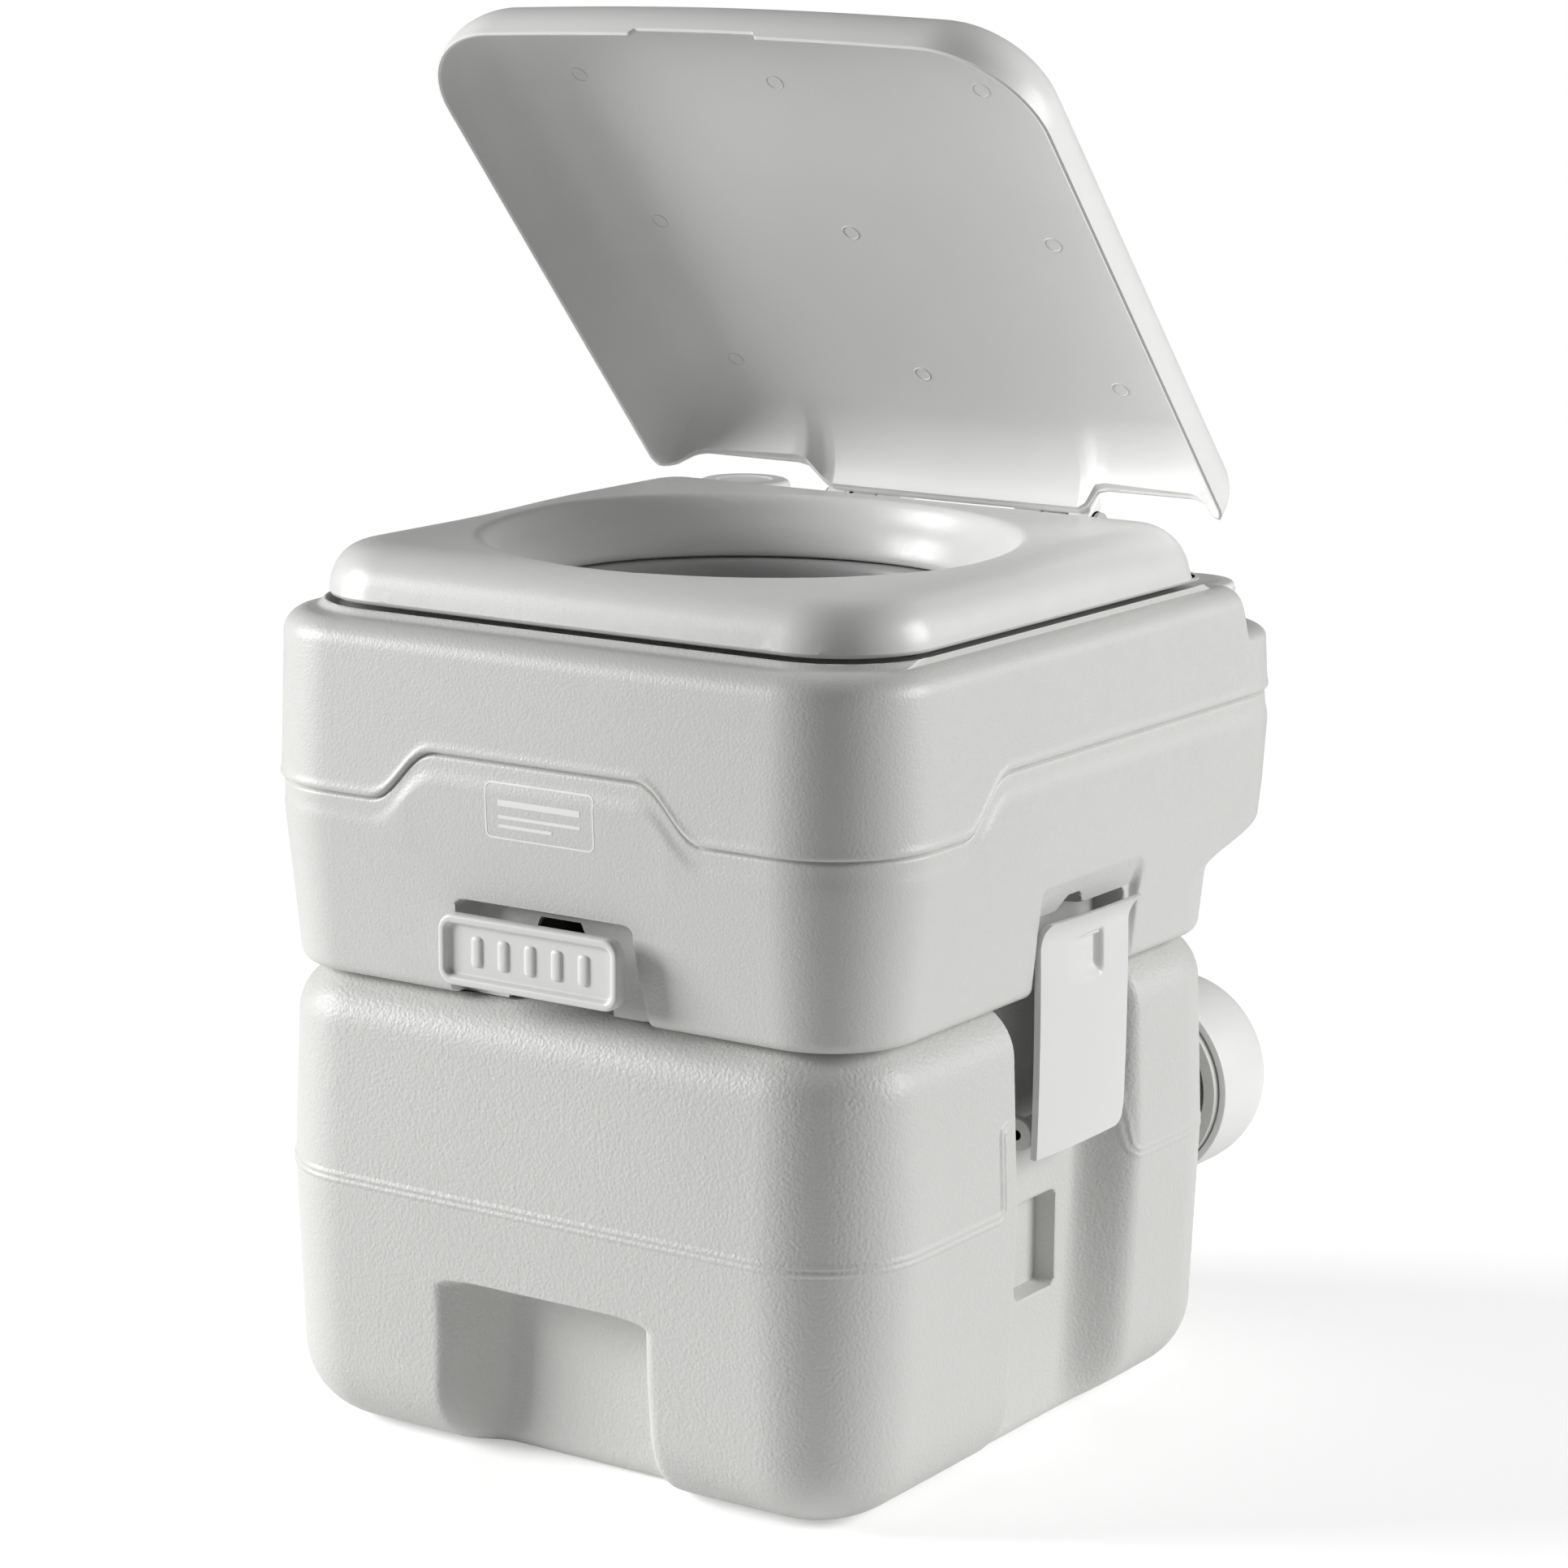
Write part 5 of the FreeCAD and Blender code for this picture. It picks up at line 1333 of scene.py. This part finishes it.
def spoutParts():
    s = spout
    end, r, w = s["start"] + s["depth"], s["radius"], s["wall"]
    centre = (s["x"], 0, s["z"])
    profile = [(0.0, end - w)] + roundProfile([(2, end - w), (r - w, end - w), (r - w, s["start"] + 9),
            (47.5, s["start"] + 8), (47.5, s["start"]), (r, s["start"]),
            (r, end), (2, end)],
            [s["round"] - w, 0.5, 0.3, 0.3, 0.8, s["round"]], 9) + [(0.0, end)]
    head = latheObject("spoutHead", profile, centre, (0, 1, 0), [mats["cap"]], 120, 30)
    x1 = s["x"] - 38.0
    r, mouth = s["tube"], x1 - 25.0
    tubeProfile = [(r - w, 0), (r - w, mouth), (r - 0.5, mouth), (r, mouth - 0.6), (r, 16.0), (r + 0.8, 10.0),
            (r + 3.0, 5.0), (r + 6.0, 2.0), (r + 6.0, 0)]
    tube = latheObject("spoutTube", tubeProfile, (x1, s["tubeY"], s["z"]), (-1, 0, 0), [mats["cap"]], 72, 30)
    return [head, tube]


def ribbedCap(name, radius, inner, length, centre, axis, count, body, replaces, look, crown=0.6):
    # a cap with a rounded crown and upright grip ribs; drawn from its open end along the axis
    profile = [(0.0, length - 3.6), (inner, length - 3.6), (inner, 0.3), (inner + 0.4, 0.0), (radius - 1.0, 0.0),
            (radius - 0.5, 0.4)]
    profile += roundProfile([(radius - 0.5, 0.4), (radius - 0.5, length - 0.4), (radius - 6.0, length)], [2.4], 6)[1:]
    profile += [(radius * 0.62, length + 0.0), (radius * 0.58, length - crown), (0.0, length - crown - 0.3)]
    cup = latheObject(name + "Cup", profile, centre, axis, [look], 96, 40)
    turn = Vector((0, 0, 1)).rotation_difference(Vector(axis)).to_matrix().to_4x4()
    place = Matrix.Translation((Vector(centre) + Vector(axis) * (length * 0.46)) * mm) @ turn
    ribs = grownMesh(name + "Ribs", ribRing, {"Count": count, "Radius": (radius - 0.55) * mm, "Rib Width": 0.0012,
            "Rib Length": length * 0.66 * mm, "Finish": look}, place)
    return finishShell([cup, ribs], name, body, replaces)


finishShell(spoutParts(), "spout", "spout", ["spout"])
capX = spout["x"] - spout["reach"] + spout["capLength"] - 4
ribbedCap("spoutCap", spout["capRadius"], spout["tube"] + 0.4, spout["capLength"],
        (capX, spout["tubeY"], spout["z"]), (-1, 0, 0), 60, "spout_cap", ["spout_cap"], mats["cap"])
fillerLow, fillerHigh = boxMm("filler_cap")
ribbedCap("fillerCap", (fillerHigh[0] - fillerLow[0]) / 2, 21.4, fillerHigh[2] - fillerLow[2],
        ((fillerLow[0] + fillerHigh[0]) / 2, (fillerLow[1] + fillerHigh[1]) / 2, fillerLow[2]), (0, 0, 1), 64,
        "filler_cap", ["filler_cap"], mats["cap"])


def knobMesh():
    low, high = boxMm("pump_knob")
    r = (high[0] - low[0]) / 2
    h = high[2] - low[2]
    profile = roundProfile([(r - 2.5, 0.4), (r - 0.5, 0.0), (r, 1.0), (r, h), (r * 0.62, h), (r * 0.56, h - 0.8),
            (3, h - 1.0)], [0.4, 0.5, 4.2, 0.6, 0.5], 7)
    under = [(0.0, h - 9.0), (9.9, h - 9.0), (10.0, h - 3.0), (r - 2.8, h - 3.2)]
    profile = under + profile + [(0.0, h - 1.0)]
    return latheObject("knobDisc", profile, ((low[0] + high[0]) / 2, (low[1] + high[1]) / 2, low[2]), (0, 0, 1),
            [mats["cap"]], 96, 35)


finishShell([knobMesh()], "pumpKnob", "pump_plunger", ["pump_knob"])
print("spout, caps and knob made")


# printed badge: a plain outline with plain bars
badge = {"x0": -29.0, "x1": 31.0, "z0": 303.5, "z1": 329.0, "corner": 3.0, "line": 0.9, "lift": 0.10,
        "bars": ((-22.0, 24.0, 320.0, 3.0), (-22.0, 24.0, 313.5, 1.6), (-22.0, 8.0, 309.2, 1.6))}


def printedStrip(name, tree, points, width, closed=False, samples=3):
    offsets = np.linspace(-width / 2, width / 2, samples)
    rows = []
    n = len(points)
    for i, (x, z) in enumerate(points):
        a = points[(i - 1) % n] if closed else points[max(i - 1, 0)]
        b = points[(i + 1) % n] if closed else points[min(i + 1, n - 1)]
        dx, dz = b[0] - a[0], b[1] - a[1]
        length = math.hypot(dx, dz)
        row = []
        for o in offsets:
            hit, normal = castOnto(tree, (x - dz / length * o, waterLow[1] - 10, z + dx / length * o), (0, -1, 0))
            row.append(tuple(hit / mm + normal * badge["lift"]))
        rows.append(row)
    return gridObject(name, rows, [mats["badge"]], closeRows=closed, closeCols=False, flip=True)


def badgeParts():
    shell = bpy.data.objects["waterTank"]
    tree = surfaceTree(shell)
    s = badge
    corners = [(s["x1"] - s["corner"], s["z0"] + s["corner"], -90), (s["x1"] - s["corner"], s["z1"] - s["corner"], 0),
            (s["x0"] + s["corner"], s["z1"] - s["corner"], 90), (s["x0"] + s["corner"], s["z0"] + s["corner"], 180)]
    loop = []
    for cx, cz, start in corners:
        for k in range(9):
            a = math.radians(start + 90 * k / 8)
            loop.append((cx + s["corner"] * math.cos(a), cz + s["corner"] * math.sin(a)))
    full = []
    for i, p in enumerate(loop):
        q = loop[(i + 1) % len(loop)]
        steps = max(1, int(math.dist(p, q) / 3))
        full += [(p[0] + (q[0] - p[0]) * k / steps, p[1] + (q[1] - p[1]) * k / steps) for k in range(steps)]
    parts = [printedStrip("badgeLine", tree, full, s["line"], closed=True)]
    for x0, x1, z, h in s["bars"]:
        line = [(x, z) for x in np.arange(x0, x1 + 0.1, 2.0)]
        parts.append(printedStrip("badgeBar", tree, line, h))
    return parts


finishShell(badgeParts(), "badge", "tanks", [])
print("badge made")


# CAD nodes that stay
looks = {
    "valve": ["valve_base", "valve_cover", "gate_blade", "pump_foot_valve"],
    "rubber": ["gate_seal", "valve_gasket", "bowl_seal", "seat_bumpers", "piston_seal", "filler_gasket", "spout_seal"],
    "pin": ["latch_pin_right", "latch_pin_left", "hinge_pin_right", "hinge_pin_left", "pump_cylinder", "pump_rod",
            "pump_piston"],
    "steel": ["valve_screws", "hinge_screws"], "seat": ["hinge_bracket_right", "hinge_bracket_left"],
    "cap": ["flush_tube", "pump_collar"], "waterTank": ["spout_ring"],
}
for look, names in looks.items():
    for name in names:
        data = frame["nodes"][name].data
        data.materials.clear()
        data.materials.append(mats[look])
print("CAD nodes given their finishes")


# stage, light and camera
studio = {"floorHalf": 3.2, "cameraAt": (1.1812, -1.7660, 0.7355), "azimuth": 33.808,
        "elevation": 11.652, "roll": 0.38,
        "lens": 102.66, "ambient": 0.11, "glow": 0.36,
        "boxes": (("leftBox", (-2.75, -1.75, 1.2), 1.5, 1.6, 146.0), ("rightBox", (2.6, 1.5, 1.2), 1.5, 1.6, 92.0))}


def floorMaterial():
    mat, tree, shader = newMaterial("studioFloor")
    place = node(tree, "ShaderNodeTexCoord").outputs["Object"]
    pale = mixColour(tree, noiseAt(tree, place, 3.0, 3.0), (0.93, 0.93, 0.93), (0.95, 0.95, 0.95))
    far = node(tree, "ShaderNodeVectorMath", {0: place}, operation="LENGTH")
    fade = ranged(tree, far.outputs["Value"], 0.35, 1.5, interpolation_type="SMOOTHSTEP")
    tree.links.new(mixColour(tree, fade, pale, (0.02, 0.02, 0.02)), shader.inputs["Base Color"])
    glow = ranged(tree, fade, 0.0, 1.0, studio["glow"])
    seen = node(tree, "ShaderNodeLightPath").outputs["Is Camera Ray"]
    shown = maths(tree, "MULTIPLY", glow, ranged(tree, seen, 0.0, 1.0, 0.2))
    tree.links.new(shown, shader.inputs["Emission Strength"])
    shader.inputs["Emission Color"].default_value = (1.0, 1.0, 1.0, 1.0)
    shader.inputs["Roughness"].default_value = 0.9
    shader.inputs["Specular IOR Level"].default_value = 0.1
    return mat


def makeFloor():
    h = studio["floorHalf"]
    verts = [(-h, -h, -0.0002), (h, -h, -0.0002), (h, h, -0.0002), (-h, h, -0.0002)]
    floor = meshObject("floor", verts, [(0, 1, 2, 3)], [floorMaterial()])


def areaLight(name, place, aim, size, sizeY, power):
    data = bpy.data.lights.new(name, "AREA")
    data.energy = power
    data.shape = "RECTANGLE"
    data.size = size
    data.size_y = sizeY
    lamp = linked(name, data)
    lamp.location = place
    lamp.rotation_euler = (Vector(aim) - Vector(place)).to_track_quat("-Z", "Y").to_euler()


def makeLights():
    # a white surround that lights the object less than it shows, and two big soft boxes
    world = bpy.data.worlds.new("studioWorld")
    world.use_nodes = True
    tree = world.node_tree
    background = tree.nodes["Background"]
    background.inputs["Color"].default_value = (1.0, 1.0, 1.0, 1.0)
    seen = node(tree, "ShaderNodeLightPath").outputs["Is Camera Ray"]
    tree.links.new(ranged(tree, seen, 0.0, 1.0, studio["ambient"]), background.inputs["Strength"])
    bpy.context.scene.world = world
    for name, place, size, sizeY, power in studio["boxes"]:
        areaLight(name, place, (0, 0, 0.3), size, sizeY, power)


def makeCamera():
    s = studio
    a, e, r = (math.radians(s[k]) for k in ("azimuth", "elevation", "roll"))
    back = Vector((math.sin(a) * math.cos(e), -math.cos(a) * math.cos(e), math.sin(e)))
    right = Vector((math.cos(a), math.sin(a), 0))
    up = back.cross(right)
    camX = right * math.cos(r) + up * math.sin(r)
    camY = up * math.cos(r) - right * math.sin(r)
    data = bpy.data.cameras.new("camera")
    data.lens = s["lens"]
    data.sensor_width = 36.0
    camera = linked("camera", data)
    m = Matrix((camX, camY, back)).transposed().to_4x4()
    m.translation = Vector(s["cameraAt"])
    camera.matrix_world = m
    bpy.context.scene.camera = camera


makeFloor()
makeLights()
makeCamera()
bpy.context.scene.view_settings.view_transform = "Standard"
print("stage made")
